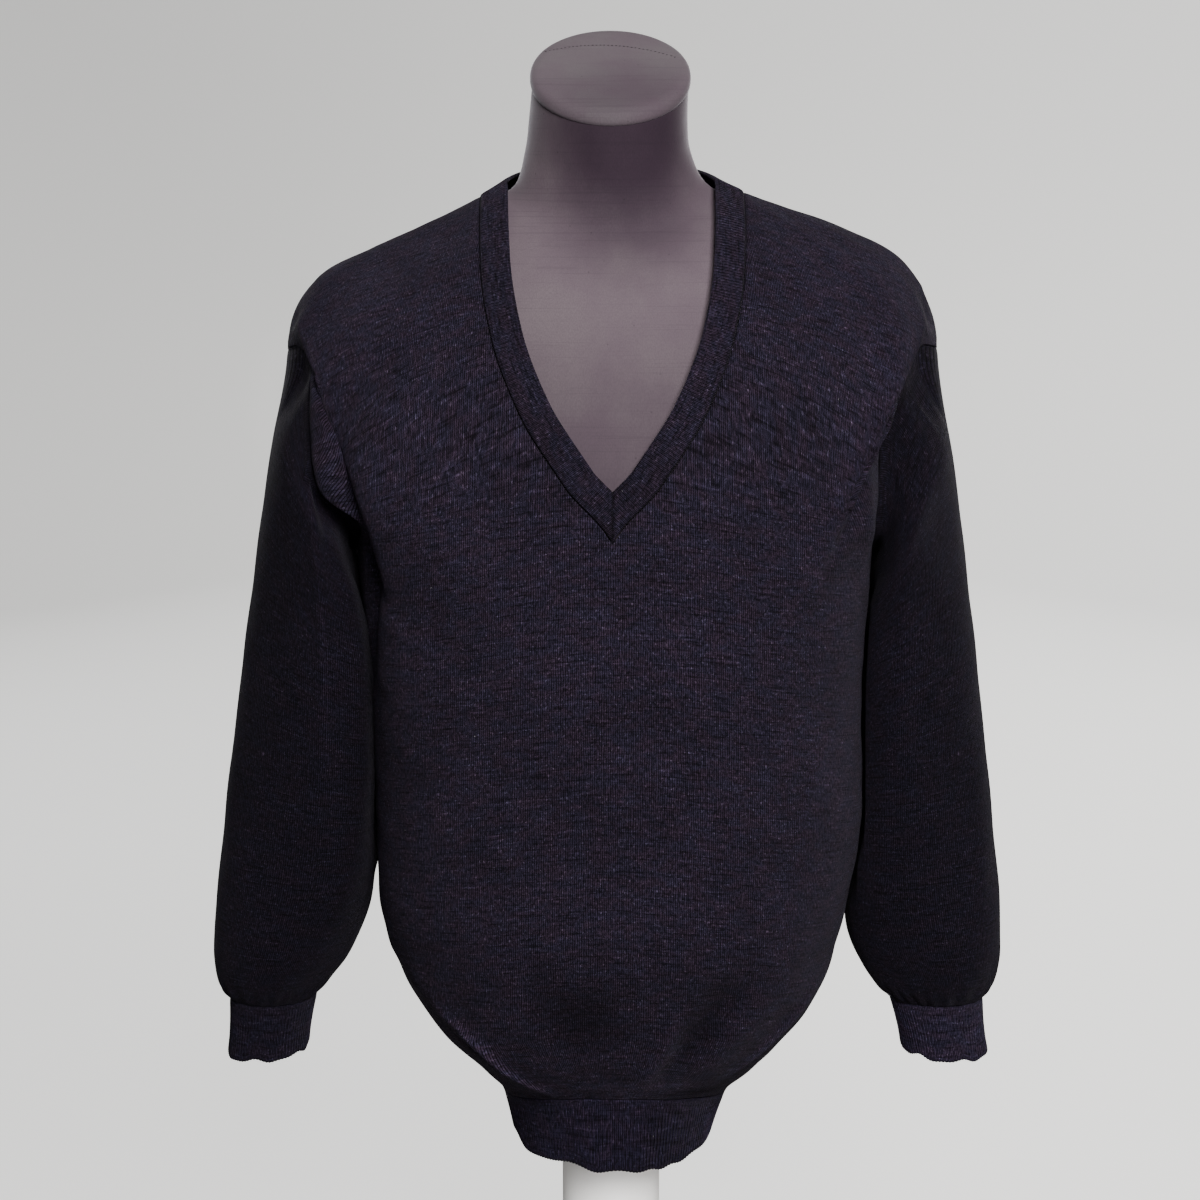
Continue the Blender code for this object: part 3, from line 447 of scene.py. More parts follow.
def makeStitchGroup():
    # knitted stitches from a flat place in metres, with the wales along its second number
    group, given, out = newGroup(
        "knitStitch",
        (
            ("Place", "NodeSocketVector", None),
            ("Wale", "NodeSocketFloat", wool["wale"]), ("Course", "NodeSocketFloat", wool["course"]),
            # a rib this wide in metres is no rib
            ("Rib", "NodeSocketFloat", 1000.0), ("Rib Depth", "NodeSocketFloat", 0.0),
            ("Seam", "NodeSocketFloat", 0.0),
            ("Deep", "NodeSocketColor", (*wool["deep"], 1)), ("Main", "NodeSocketColor", (*wool["main"], 1)),
            ("Light", "NodeSocketColor", (*wool["light"], 1)),
        ),
        (("Color", "NodeSocketColor"), ("Height", "NodeSocketFloat")),
    )

    def layer(name):
        return noise(group, given["Place"], wool[name])

    parts = addNode(group, "ShaderNodeSeparateXYZ", {0: given["Place"]}).outputs
    waleCount = calc(group, "DIVIDE", parts["X"], given["Wale"])
    waleCount = calc(group, "MULTIPLY_ADD", layer("drift"), wool["waleWander"], waleCount)
    side = calc(group, "MULTIPLY_ADD", calc(group, "FRACT", waleCount), 2.0, -1.0)
    side = calc(group, "ABSOLUTE", side)
    courseCount = calc(group, "DIVIDE", parts["Y"], given["Course"])
    leaning = calc(group, "MULTIPLY_ADD", side, wool["stitchLean"], courseCount)
    leg = calc(group, "SINE", calc(group, "MULTIPLY", calc(group, "FRACT", leaning), math.pi))
    rounded = calc(group, "SUBTRACT", 1.0, calc(group, "POWER", side, wool["stitchRound"]))
    leg = calc(group, "MULTIPLY_ADD", leg, wool["legDepth"], 1 - wool["legDepth"])
    stitch = calc(group, "MULTIPLY", rounded, leg)
    fuzz = calc(group, "SUBTRACT", layer("fuzz"), 0.5)
    join(group, out["Height"], calc(group, "MULTIPLY_ADD", fuzz, wool["fuzzDepth"], stitch))

    # mixed dark and pale fibres, flecks a stitch wide, uneven rows and a slow drift of tint
    colour = mixColour(group, layer("flecks"), given["Deep"], given["Main"])
    colour = mixColour(group, layer("pale"), colour, given["Light"])
    colour = mixColour(group, layer("streaks"), colour, wool["streak"], "MULTIPLY")
    colour = mixColour(group, layer("bright"), colour, wool["glint"], "MULTIPLY")
    tint = mixColour(group, layer("slow"), wool["bluish"], wool["plum"])
    tinted = mixColour(group, 1.0, colour, tint, "MULTIPLY")
    colour = mixColour(group, wool["tintShare"], colour, tinted)
    # sparse specks of lint
    values = {"Vector": given["Place"], "Scale": 1 / wool["lintSpacing"]}
    spread = addNode(group, "ShaderNodeTexVoronoi", values)
    size = wool["lintSize"] / wool["lintSpacing"]
    lint = ranged(group, spread.outputs["Distance"], size * 0.5, size, 1.0, 0.0)
    chosen = addNode(group, "ShaderNodeSeparateColor", {0: spread.outputs["Color"]}).outputs[0]
    lint = calc(group, "MULTIPLY", lint, ranged(group, chosen, *wool["lintChosen"]))
    # painted shade in the hollows between stitches, between ribs and along a sewn edge, where the linking
    # yarn is darker too; the seam value also carries the lines' painted highlight and painted shade
    valley = calc(group, "MULTIPLY", ranged(group, stitch, *wool["valley"]), layer("cloudy"))
    ribs = calc(group, "MULTIPLY", calc(group, "DIVIDE", parts["X"], given["Rib"]), 2 * math.pi)
    ribs = calc(group, "SUBTRACT", 1.0, calc(group, "COSINE", ribs))
    ribs = calc(group, "MULTIPLY", ribs, given["Rib Depth"])
    shade = calc(group, "SUBTRACT", valley, calc(group, "MULTIPLY", ribs, wool["ribShade"]))
    sewn = calc(group, "MULTIPLY_ADD", given["Seam"], -wool["seamShade"], 1.0)
    shade = calc(group, "MULTIPLY", shade, sewn)
    shade = addNode(group, "ShaderNodeCombineColor", {0: shade, 1: shade, 2: shade}).outputs[0]
    colour = mixColour(group, 1.0, colour, shade, "MULTIPLY")
    join(group, out["Color"], mixColour(group, lint, colour, wool["lint"]))
    return group


def makeWool(name, group, bump, values=None, shade=(1, 1, 1)):
    material, tree, shader = newMaterial(
        name, Roughness=wool["roughness"], Sheen_Weight=wool["sheen"], Sheen_Roughness=wool["sheenRoughness"],
        Sheen_Tint=wool["sheenTint"], Specular_IOR_Level=wool["specular"],
    )
    place = addNode(tree, "ShaderNodeUVMap", uv_map="cloth").outputs[0]
    stitch = addNode(tree, "ShaderNodeGroup", node_tree=group)
    join(tree, stitch.inputs["Place"], place)
    # the seam value: darker linking yarn and painted shade at seams, painted highlight and shade along lines
    seam = addNode(tree, "ShaderNodeAttribute", attribute_name="seam").outputs["Fac"]
    join(tree, stitch.inputs["Seam"], seam)
    for key in ("Deep", "Main", "Light"):
        join(tree, stitch.inputs[key], tuple(part * share for part, share in zip(wool[key.lower()], shade)))
    for key, value in (values or {}).items():
        join(tree, stitch.inputs[key], value)
    join(tree, shader.inputs["Base Color"], stitch.outputs["Color"])
    addRelief(tree, shader, stitch.outputs["Height"], bump, 1.0)
    return material


stitchGroup = makeStitchGroup()
knitWool = makeWool("knitWool", stitchGroup, wool["bump"])
# the sleeves wear the same yarn scaled darker: painted shade
shadedSleeveWool = makeWool("shadedSleeveWool", stitchGroup, wool["bump"] * wool["sleeveBump"], shade=wool["sleeve"])
print("wool ready")


def dress(piece, material, slot, *replaced):
    piece.data.materials.append(material)
    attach(piece, "root")
    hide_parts(*replaced)
    return piece


# ---- front and back panels
panel = {
    "columns": 186, "rows": 208,
    "stretches": (5, 5, 9),  # shares of the rows: to the shoulder's end, the armhole, down to the rib
    "seamDip": 0.0011, "seamWidth": 0.0035,  # how a sewn edge turns in
    "sideReach": 0.17, "topReach": 0.25, "topDip": 0.7, "armholeTone": 0.85,
    "frontCut": (0.54, 0.66), "frontArea": 0.29,
    "backCut": (0.54, 0.7), "backArea": 0.33,
    "ripple": 0.0005, "rippleAcross": (61, 23), "rippleAlong": (31, 97), "rippleWander": 3,
    # rows of knit hang lower at the sides, and slope over the shoulders
    "droop": 0.2, "droopStart": 0.06, "slopeHeights": (0.8, 0.94), "slope": 0.6,
    "arcSteps": 25, "lastWidth": 10.5,  # the ring row below which the cut keeps its width
}


def panelPlace(start, v):
    # three stretches: neck to shoulder end, the armhole, and down to the rib
    yokeRows, armholeRows, sideRows = panel["stretches"]
    low = yokeRows + armholeRows
    t = v * (low + sideRows)
    end, under, rib = body["shoulderEnd"], body["underarm"], body["ribTop"]
    yoke = start + (end - start) * np.clip(t / yokeRows, 0, 1)
    side = under + (t - low) * (rib - under) / sideRows
    return np.where(t < yokeRows, yoke, np.where(t < low, end + (t - yokeRows) / armholeRows, side))


def panelCut(middleAngle, turn, place, point):
    # wales run straight down, so the cut's width is measured round each ring
    row = np.minimum(place, panel["lastWidth"])
    arc = np.zeros(len(turn))
    lastPoint = ringPoint(body["rings"], middleAngle + 0 * turn, row)
    for step in np.linspace(0, 1, panel["arcSteps"])[1:]:
        here = ringPoint(body["rings"], middleAngle + turn * step, row)
        arc += np.linalg.norm(here - lastPoint, axis=1)
        lastPoint = here
    across = np.sign(turn) * arc
    slope = smoothStep(point[:, 2], *panel["slopeHeights"])
    along = point[:, 2] - panel["slope"] * np.abs(point[:, 1]) * slope
    along += panel["droop"] * (np.hypot(across, panel["droopStart"]) - panel["droopStart"])
    return across, along


def panelShape(middleAngle, armhole, starts):
    def shape(u, v):
        share = crowded(u) * 2 - 1
        place = panelPlace(starts(share), v)
        edge = np.pi / 2 - armholeTurn(place, armhole)
        angle = middleAngle + share * edge
        point, normal = clothPoint(angle, place, fine=True)
        across, along = panelCut(middleAngle, angle - middleAngle, place, point)
        # sewn edges turn in a little
        sides = (1 - np.abs(share)) * edge * panel["sideReach"]
        yokeRows, allRows = panel["stretches"][0], sum(panel["stretches"])
        top = np.where(v < yokeRows / allRows, v * allRows / yokeRows * panel["topReach"], 1.0)
        atSide, atTop = (np.exp(-((off / panel["seamWidth"]) ** 2)) for off in (sides, top))
        sewn = np.minimum(atSide + atTop * panel["topDip"], 1)
        (fast, slow), (wander, steep) = panel["rippleAcross"], panel["rippleAlong"]
        ripple = panel["ripple"] * np.sin(across * fast + panel["rippleWander"] * np.sin(along * wander))
        ripple = ripple * np.sin(along * steep + across * slow)
        point = point + normal * (ripple - sewn * panel["seamDip"])[:, None]
        gap = np.where(np.minimum(u, 1 - u) < meshing["edge"], body["seamGap"] / 2, 0)
        point[:, 1] -= gap * math.copysign(1, math.cos(middleAngle))
        point[:, 2] += np.where(1 - v < meshing["edge"], body["seamGap"], 0)
        # seam darkening is linking yarn and painted shade, less at the armholes; lines add painted light and
        # shade
        dark = 1 - panel["armholeTone"] * atSide * (place < body["underarm"])
        paintedLightAndShade = lineHeight(angle, point[:, 2], paintedLightAndShadeLines, body["lineRadius"])
        return point, np.stack([across, along], -1), sewn ** 3 * dark + paintedLightAndShade
    return shape


def makePanel(name, node, middleAngle, armhole, starts):
    shape = panelShape(middleAngle, armhole, starts)
    piece = sheetMesh(name, panel["columns"], panel["rows"], shape, outward=outFromBody)
    giveWall(piece, body["knitWall"])
    dress(piece, knitWool, "knit", node)
    return piece


frontPanel = makePanel(
    "frontPanel", "front", 0.0, body["armholeFront"], lambda share: frontStart(share * np.pi / 2),
)
backPanel = makePanel(
    "backPanel", "back", np.pi, body["armholeBack"],
    lambda share: np.full(len(share), float(body["neckSeam"])),
)
print("front and back panels laid")

# ---- neckband
band = {
    "width": 0.022, "ribPitch": 0.0022, "ribHeight": 0.00055, "columnsPerRib": 4, "rows": 9,
    "rise": 0.06, "proud": 0.0007, "cut": (0.87, 0.022),
    "legPoints": 260, "backPoints": 240,
    "lookAside": 0.004, "tipReach": 0.08,  # along the seam, for its way and for the legs' meeting
    "edgeOut": 0.0011, "edgeIn": 0.0012, "edgeDrop": 0.0008, "mitreWidth": 0.0011, "mitreDrop": 0.0009,
    "ribEnds": 0.35, "crowding": 0.5, "seamTone": 0.0008, "mitreTone": 0.8,
    "course": 0.0012, "ribShade": 0.3,
}


def neckSeamLoop():
    # from the V's tip up the left leg, round the back neck and down the right leg
    turn = np.concatenate([
        np.linspace(0, np.pi / 2, band["legPoints"]),
        np.linspace(np.pi / 2, 3 * np.pi / 2, band["backPoints"])[1:-1],
        np.linspace(-np.pi / 2, 0, band["legPoints"]),
    ])
    onFront = np.cos(turn) > 1e-9
    place = np.where(onFront, frontStart(turn), float(body["neckSeam"]))
    point, normal = clothPoint(turn, place)
    lengths = np.concatenate([[0], np.cumsum(np.linalg.norm(np.diff(point, axis=0), axis=1))])
    return point, normal, lengths


def makeNeckband():
    loop, loopNormal, lengths = neckSeamLoop()
    total = lengths[-1]
    ribs = round(total / band["ribPitch"])
    pitch = total / ribs

    def readAt(length):
        spot = np.stack([np.interp(length, lengths, loop[:, k]) for k in range(3)], -1)
        normal = unit(np.stack([np.interp(length, lengths, loopNormal[:, k]) for k in range(3)], -1))
        return spot, normal

    def shape(u, v):
        length = u * total
        spot, normal = readAt(length)
        aside = band["lookAside"]
        ahead, _ = readAt(np.minimum(length + aside, total - meshing["edge"]))
        behind, _ = readAt(np.maximum(length - aside, meshing["edge"]))
        inward = unit(np.cross(normal, unit(ahead - behind)))
        wrong = (inward * np.stack([-spot[:, 0], -spot[:, 1], 0.02 + 0 * u], -1)).sum(-1) < 0
        inward[wrong] *= -1
        lean = unit(inward + normal * band["rise"])
        # the two legs meet on the middle plane
        width = band["width"]
        nearTip = np.minimum(length, total - length) < band["tipReach"]
        toMiddle = np.abs(spot[:, 0]) / np.maximum(np.abs(lean[:, 0]), 1e-4)
        reach = np.where(nearTip, np.minimum(width, toMiddle), width)
        across = reach * crowded(1 - v, band["crowding"])  # 0 at the seam
        flat = spot + inward * body["seamGap"] + lean * across[:, None]
        wave = np.sqrt(0.5 + 0.5 * np.cos(2 * np.pi * length / pitch))
        edgeOut = 1 - np.exp(-((across / band["edgeOut"]) ** 2))
        edgeIn = 1 - np.exp(-(((width - across) / band["edgeIn"]) ** 2))
        mitre = np.where(nearTip, np.exp(-((np.abs(flat[:, 0]) / band["mitreWidth"]) ** 2)), 0)
        ribEnds = band["ribEnds"] + (1 - band["ribEnds"]) * edgeIn
        rise = band["proud"] * edgeOut + band["ribHeight"] * wave * ribEnds * edgeOut
        rise = rise - band["edgeDrop"] * (1 - edgeIn) - band["mitreDrop"] * mitre
        # darker along the seam and the mitre: linking yarn and painted shade in the groove there
        sewn = np.exp(-((across / band["seamTone"]) ** 2))
        sewn = np.maximum(sewn, band["mitreTone"] * mitre)
        return flat + normal * rise[:, None], np.stack([length, across], -1), sewn

    piece = sheetMesh(
        "neckbandRib", ribs * band["columnsPerRib"], band["rows"], shape, closed=True,
        outward=lambda middle: Vector((middle.x, middle.y, 0.4 * max(middle.z - 0.9, 0))),
    )
    giveWall(piece, body["ribWall"])
    material = makeWool("neckbandWool", stitchGroup, wool["ribBump"], {
        "Wale": pitch / 2, "Course": band["course"], "Rib": pitch,
        "Rib Depth": band["ribShade"],
    })
    dress(piece, material, "rib", "neckband")
    return piece


neckband = makeNeckband()
print("neckband linked on")

# ---- hem rib and cuffs
hem = {
    "ribs": 200, "columnsPerRib": 5, "rows": 12, "ribHeight": 0.0007, "cut": (0.56, 0.055),
    "pitch": 0.0027, "height": 0.034, "wale": 0.00135, "course": 0.0011, "ribShade": 0.34,
    "normalRow": 13.98,  # the last ring row at which the way out is read
    "flare": 0.0012, "topEnd": 0.35, "lowEnd": 0.06, "footRise": 0.0005, "seamTone": 0.035,
    # where the edge hangs lower or pulls up: angle, width in degrees, drop
    "scallops": (
        (-8, 7, -0.003), (14, 7, -0.0036), (27, 6, -0.0052), (39, 7, -0.0046), (-24, 7, 0.0016),
        (-60, 12, -0.003), (56, 8, -0.001), (82, 10, 0.0015), (-86, 10, -0.0034), (112, 12, -0.002),
        (142, 12, 0.0022), (171, 11, -0.0024), (203, 12, 0.0018), (232, 11, -0.0022), (256, 10, 0.0015),
    ),
}
cuff = {
    "ribs": 80, "columnsPerRib": 5, "rows": 10, "ribHeight": 0.0006, "cut": (0.19, 0.048),
    "waves": 6, "wave": 0.0012, "smallWaves": 11, "smallWave": 0.0006,
    "pitch": 0.0024, "height": 0.046, "wale": 0.0012, "course": 0.0011, "ribShade": 0.32,
    "flare": 0.0009, "waist": 0.0012, "topEnd": 0.25, "lowEnd": 0.05, "footRise": 0.0004, "seamTone": 0.025,
    "sections": (
        (0.4187, 0.4197, 0.2905, 0.224, 0.283, 0.211, 0.0325, 0.0325, 0.0, 1.0, 1.0),
        (0.372, 0.377, 0.2935, 0.2315, 0.2875, 0.223, 0.03, 0.03, 0.0, 1.0, 1.0),
    ),
}
# the darker top of a rib piece is the seam's linking yarn and painted shade under the panel's edge
ribSeamShade = 0.1  # how dark the top of a rib piece is where it is sewn on


def bumps(angle, table):
    degrees = np.degrees(angle)
    total = np.zeros(np.shape(angle))
    for middle, width, height in table:
        total += height * np.exp(-((shortWay(degrees - middle) / width) ** 2))
    return total


def ribWave(turns, sharpness=0.6):
    wave = 0.5 + 0.5 * np.cos(2 * np.pi * turns)
    return wave ** sharpness


def ribRelief(v, size, wave):
    # the ribs rise softly below the seam and flatten at the free edge
    ends = smoothStep(v, 0.0, size["topEnd"]) * (0.4 + 0.6 * smoothStep(1 - v, 0.0, size["lowEnd"]))
    return size["ribHeight"] * wave * ends


def ribKnit(size):
    return {
        "Wale": size["wale"], "Course": size["course"], "Rib": size["pitch"], "Rib Depth": size["ribShade"],
    }


def ribCut(u, v, size):
    flat = np.stack([u * size["ribs"] * size["pitch"], v * size["height"]], -1)
    return flat, np.exp(-((v / size["seamTone"]) ** 2)) * ribSeamShade


def makeHem():
    def shape(u, v):
        angle = u * 2 * np.pi
        place = body["ribTop"] + v
        point = ringPoint(body["rings"], angle, place)
        normal = ringNormal(body["rings"], angle, np.minimum(place, hem["normalRow"]))
        wave = ribWave(u * hem["ribs"])
        scallop = bumps(angle, hem["scallops"]) * smoothStep(v, 0.15, 1.0)
        flare = hem["flare"] * np.sin(angle * 7 + 1) * v ** 2
        point = point + normal * (ribRelief(v, hem, wave) + flare)[:, None]
        foot = hem["footRise"] * (1 - wave) * smoothStep(v, 0.8, 1.0)
        point[:, 2] += scallop - body["seamGap"] + foot
        return (point, *ribCut(u, v, hem))

    piece = sheetMesh("hemRib", hem["ribs"] * hem["columnsPerRib"], hem["rows"], shape, closed=True)
    giveWall(piece, body["ribWall"])
    material = makeWool("hemWool", stitchGroup, wool["ribBump"], ribKnit(hem), wool["rib"])
    dress(piece, material, "rib", "hem_rib")
    return piece


hemRib = makeHem()
print("hem rib gathered")

# ---- sleeves
sleeve = {
    "columns": 168, "rows": 132, "cut": (0.4, 0.5), "area": 0.145, "girth": 0.36,
    "armpitFold": 0.003, "clearance": 0.0032,
    "innerPoint": (0.95, 0.62),  # how pointed the inner half of the right and left sleeve is
    "seekSteps": 26,  # halvings by which the body's width is found at a height
    # outer and inner height, right outer and inner x, left outer and inner x, front, back,
    # ridge, and how pointed the outer half of the right and left sleeve is
    "sections": (
        (0.845, 0.748, 0.245, 0.186, 0.244, 0.189, 0.066, 0.074, 0.004, 1.3, 1.1),
        (0.775, 0.712, 0.257, 0.176, 0.2555, 0.18, 0.06, 0.076, 0.007, 1.4, 1.12),
        (0.7, 0.662, 0.269, 0.17, 0.2665, 0.176, 0.056, 0.074, 0.009, 1.4, 1.12),
        (0.62, 0.602, 0.281, 0.169, 0.2775, 0.175, 0.054, 0.071, 0.01, 1.35, 1.1),
        (0.55, 0.543, 0.291, 0.171, 0.2865, 0.172, 0.052, 0.068, 0.009, 1.25, 1.08),
        (0.49, 0.487, 0.2985, 0.183, 0.2935, 0.174, 0.05, 0.063, 0.006, 1.12, 1.04),
        (0.453, 0.453, 0.3015, 0.198, 0.295, 0.186, 0.046, 0.054, 0.003, 1.05, 1.0),
        (0.431, 0.432, 0.2985, 0.214, 0.291, 0.199, 0.04, 0.043, 0.001, 1.0, 1.0),
        (0.419, 0.42, 0.2905, 0.224, 0.283, 0.211, 0.0325, 0.0325, 0.0, 1.0, 1.0),
    ),
    "sectionRings": 14,
    "pace": (0, 0.03, 0.17, 1.0),  # shares of the mesh rows at the seam, the fold, the first and last section
    # ridges and hollows along each sleeve: angle at the top and bottom, heights, width in degrees, height
    "rightFolds": (
        (97, 93, 0.9, 0.47, 8, 0.004), (62, 60, 0.88, 0.46, 19, -0.0015),
        (132, 126, 0.82, 0.5, 20, 0.008), (20, 40, 0.62, 0.5, 14, 0.0015),
    ),
    "leftFolds": (
        (94, 96, 0.88, 0.47, 9, 0.001), (60, 58, 0.86, 0.46, 20, -0.001),
        (128, 120, 0.84, 0.5, 17, -0.0015), (30, 44, 0.6, 0.49, 14, 0.0015),
    ),
    # painted highlight and painted shade as on the panels, but by the sleeve's own angle
    "rightPaintedLightAndShade": (
        (((92, 0.815), (94, 0.76), (97, 0.69), (100, 0.61)), 0.0016, -0.45),
        (((150, 0.8), (148, 0.7), (146, 0.6), (140, 0.5)), 0.022, 0.55),
    ),
    "leftPaintedLightAndShade": (
        (((150, 0.8), (150, 0.7), (148, 0.6), (142, 0.5)), 0.016, 0.4),
        (((70, 0.9), (80, 0.85), (95, 0.8)), 0.02, 0.3),
    ),
    "paintedLightAndShadeRadius": 0.05, "foldFade": 0.7, "centreX": 0.235,
    "gather": 0.0009, "gatherPlace": 0.01, "gatherWidth": 0.009, "crumple": 0.0004,
    "seamTone": 0.35, "seamToneWidth": 0.0022,
}


def bodyHalfWidth(side, y, z):
    low = np.full(np.shape(z), float(body["shoulderEnd"]))
    high = np.full(np.shape(z), float(body["ribTop"]))
    for _ in range(sleeve["seekSteps"]):
        middle = (low + high) / 2
        above = ringPoint(body["rings"], side * np.pi / 2, middle)[..., 2] > z
        low, high = np.where(above, middle, low), np.where(above, high, middle)
    right, left, front, back, *_, square, _ = np.moveaxis(between(body["rings"], low), -1, 0)
    depth, half = np.where(y < 0, front, back), left if side > 0 else right
    return half * (1 - np.minimum(np.abs(y) / depth, 1.0) ** square) ** (1 / square)


def sectionPoint(rows, side, angle, place):
    # the angle is 0 on the outer side of the sleeve and grows towards the front
    values = np.moveaxis(between(rows, place + 0 * angle), -1, 0)
    outerZ, innerZ, *across, front, back, ridge, rightPoint, leftPoint = values
    outerX, innerX = across[:2] if side < 0 else across[2:]
    sharp = rightPoint if side < 0 else leftPoint
    ahead, outward = np.sin(angle), np.cos(angle)
    x = (outerX + innerX) / 2 + outward * (outerX - innerX) / 2
    x = x - np.where(ahead > 0, ridge * ahead * ahead, 0)
    sharp = np.where(outward > 0, sharp, sleeve["innerPoint"][side > 0])
    y = np.where(ahead > 0, -front * np.abs(ahead) ** sharp, -ahead * back)
    z = outerZ + (innerZ - outerZ) * (1 - outward) / 2
    x = np.maximum(x, bodyHalfWidth(side, y, z) + sleeve["clearance"])
    return np.stack([side * x, y, z], -1)


def armholeRing(side, angle):
    half = np.where(angle <= np.pi, angle, 2 * np.pi - angle)
    place = body["shoulderEnd"] + half / np.pi
    front = armholeTurn(place, body["armholeFront"])
    back = armholeTurn(place, body["armholeBack"])
    around = side * (np.pi / 2 - np.where(angle <= np.pi, front, -back))
    return clothPoint(around, place, fine=True)


def alongRings(rings, t):
    # smooth curves through a stack of rings, paced by the distance between them
    gaps = np.maximum(np.linalg.norm(np.diff(rings, axis=0), axis=-1, keepdims=True), 1e-5)
    ways = np.diff(rings, axis=0) / gaps
    slopes = np.concatenate([
        ways[:1],
        (ways[:-1] * gaps[1:] + ways[1:] * gaps[:-1]) / (gaps[1:] + gaps[:-1]),
        ways[-1:],
    ])
    low = np.minimum(t.astype(int), len(rings) - 2)
    s = (t - low)[:, None, None]
    h = gaps[low]
    return (
        (2 * s**3 - 3 * s**2 + 1) * rings[low] + (s**3 - 2 * s**2 + s) * h * slopes[low]
        + (3 * s**2 - 2 * s**3) * rings[low + 1] + (s**3 - s**2) * h * slopes[low + 1]
    )


def sleeveRings(side, angle):
    # the armhole's own edge, the turned-in fold beside it, then the sections down to the cuff
    point, normal = armholeRing(side, angle)
    ring = point[:-1]
    along = np.roll(ring, -1, axis=0) - np.roll(ring, 1, axis=0)
    along = np.concatenate([along, along[:1]])
    way = unit(np.cross(normal, along))
    wrong = (way * (ring.mean(axis=0) - point)).sum(-1) < 0
    way[wrong] *= -1
    under = ((1 - np.cos(angle)) / 2)[:, None]
    seam = point + way * body["seamGap"]
    turned = point + way * (body["seamGap"] + sleeve["armpitFold"]) + normal * sleeve["armpitFold"] * under
    last = len(sleeve["sections"]) - 1
    count = sleeve["sectionRings"]
    rings = [seam, turned]
    rings += [sectionPoint(sleeve["sections"], side, angle, last * r / (count - 1)) for r in range(count)]
    return np.stack(rings)


def makeSleeve(name, side, node, folds, paintedLightAndShadeLines):
    columns, rows = sleeve["columns"], sleeve["rows"]
    angle = np.linspace(0, 2 * np.pi, columns + 1)
    rings = sleeveRings(side, angle)
    pace = np.interp(np.linspace(0, 1, rows + 1), sleeve["pace"], (0, 1, 2, len(rings) - 1))
    table = alongRings(rings, pace)
    around = np.roll(table[:, :-1], -1, axis=1) - np.roll(table[:, :-1], 1, axis=1)
    around = np.concatenate([around, around[:, :1]], axis=1)
    down = np.gradient(table, axis=0)
    normal = unit(np.cross(down, around) * -side)
    middle = table[:, :-1].mean(axis=1)[:, None]
    normal *= np.sign(((table - middle) * normal)[:, :, :2].sum(-1).mean())
    degrees = np.degrees(angle)[None]
    z = table[..., 2]
    height = np.zeros(z.shape)
    for topAngle, bottomAngle, top, bottom, width, rise in folds:
        share = (top - z) / (top - bottom)
        off = degrees - (topAngle + (bottomAngle - topAngle) * share)
        along = np.sin(np.pi * np.clip(share, 0, 1)) ** sleeve["foldFade"]
        along = np.where((share > 0) & (share < 1), along, 0.0)
        height += rise * along * np.exp(-((off / width) ** 2))
    lengths = np.linalg.norm(np.diff(table, axis=0), axis=-1)
    fromSeam = np.concatenate([np.zeros((1, columns + 1)), np.cumsum(lengths, axis=0)])
    toCuff = fromSeam[-1:] - fromSeam
    # small gathers above the cuff, and the edge that turns in at the armhole seam
    gathers = sleeve["gather"] * np.cos(angle * 23 + 2 * np.sin(angle * 3))[None]
    gathers = gathers * np.exp(-((toCuff - sleeve["gatherPlace"]) / sleeve["gatherWidth"]) ** 2)
    height += gathers - panel["seamDip"] * np.exp(-((fromSeam / panel["seamWidth"]) ** 2))
    height += sleeve["crumple"] * np.sin(z * 83 + 2 * np.sin(angle * 2)) * np.sin(angle * 5 + z * 19)
    height *= smoothStep(fromSeam, -0.002, 0.002)
    table = table + normal * height[..., None]
    lengthAlong = fromSeam.mean(axis=1)

    def shape(u, v):
        column = np.rint(u * columns).astype(int)
        row = np.rint(v * rows).astype(int)
        # darker at the armhole seam (linking yarn and painted shade), plus the lines' painted light and shade
        sewn = sleeve["seamTone"] * np.exp(-((fromSeam[row, column] / sleeve["seamToneWidth"]) ** 2))
        sewn += lineHeight(u * 2 * np.pi, table[row, column, 2], paintedLightAndShadeLines, sleeve["paintedLightAndShadeRadius"])
        return table[row, column], np.stack([u * sleeve["girth"], lengthAlong[row]], -1), sewn

    centreX = side * sleeve["centreX"]
    piece = sheetMesh(
        name, columns, rows, shape, closed=True,
        outward=lambda middle: Vector((middle.x - centreX, middle.y, 0)),
    )
    giveWall(piece, body["knitWall"])
    dress(piece, shadedSleeveWool, "knit", node)
    return piece


def makeCuff(name, side, node):
    def shape(u, v):
        angle = u * 2 * np.pi
        point = sectionPoint(cuff["sections"], side, angle, v)
        out = np.stack([side * np.cos(angle), -np.sin(angle), 0 * angle], -1)
        wave = ribWave(u * cuff["ribs"])
        flare = cuff["flare"] * np.sin(angle * 4 + side) * v ** 2 - cuff["waist"] * np.sin(np.pi * v)
        point = point + out * (ribRelief(v, cuff, wave) + flare)[:, None]
        edge = cuff["wave"] * np.sin(cuff["waves"] * angle)
        edge = edge + cuff["smallWave"] * np.sin(cuff["smallWaves"] * angle + side)
        foot = cuff["footRise"] * (1 - wave) * smoothStep(v, 0.85, 1)
        point[:, 2] += edge * smoothStep(v, 0.2, 1) + foot
        return (point, *ribCut(u, v, cuff))

    piece = sheetMesh(name, cuff["ribs"] * cuff["columnsPerRib"], cuff["rows"], shape, closed=True)
    giveWall(piece, body["ribWall"])
    # the cuff's wool is the same yarn scaled: painted shade on the right cuff and painted light on the left
    dress(piece, makeWool(f"{name}Wool", stitchGroup, wool["ribBump"], ribKnit(cuff), wool[name]), "rib", node)
    return piece


sleeveRight = makeSleeve("sleeveRight", -1, "sleeve_right", sleeve["rightFolds"], sleeve["rightPaintedLightAndShade"])
sleeveLeft = makeSleeve("sleeveLeft", 1, "sleeve_left", sleeve["leftFolds"], sleeve["leftPaintedLightAndShade"])
cuffRight = makeCuff("cuffRight", -1, "cuff_right")
cuffLeft = makeCuff("cuffLeft", 1, "cuff_left")
print("sleeves and cuffs hung")

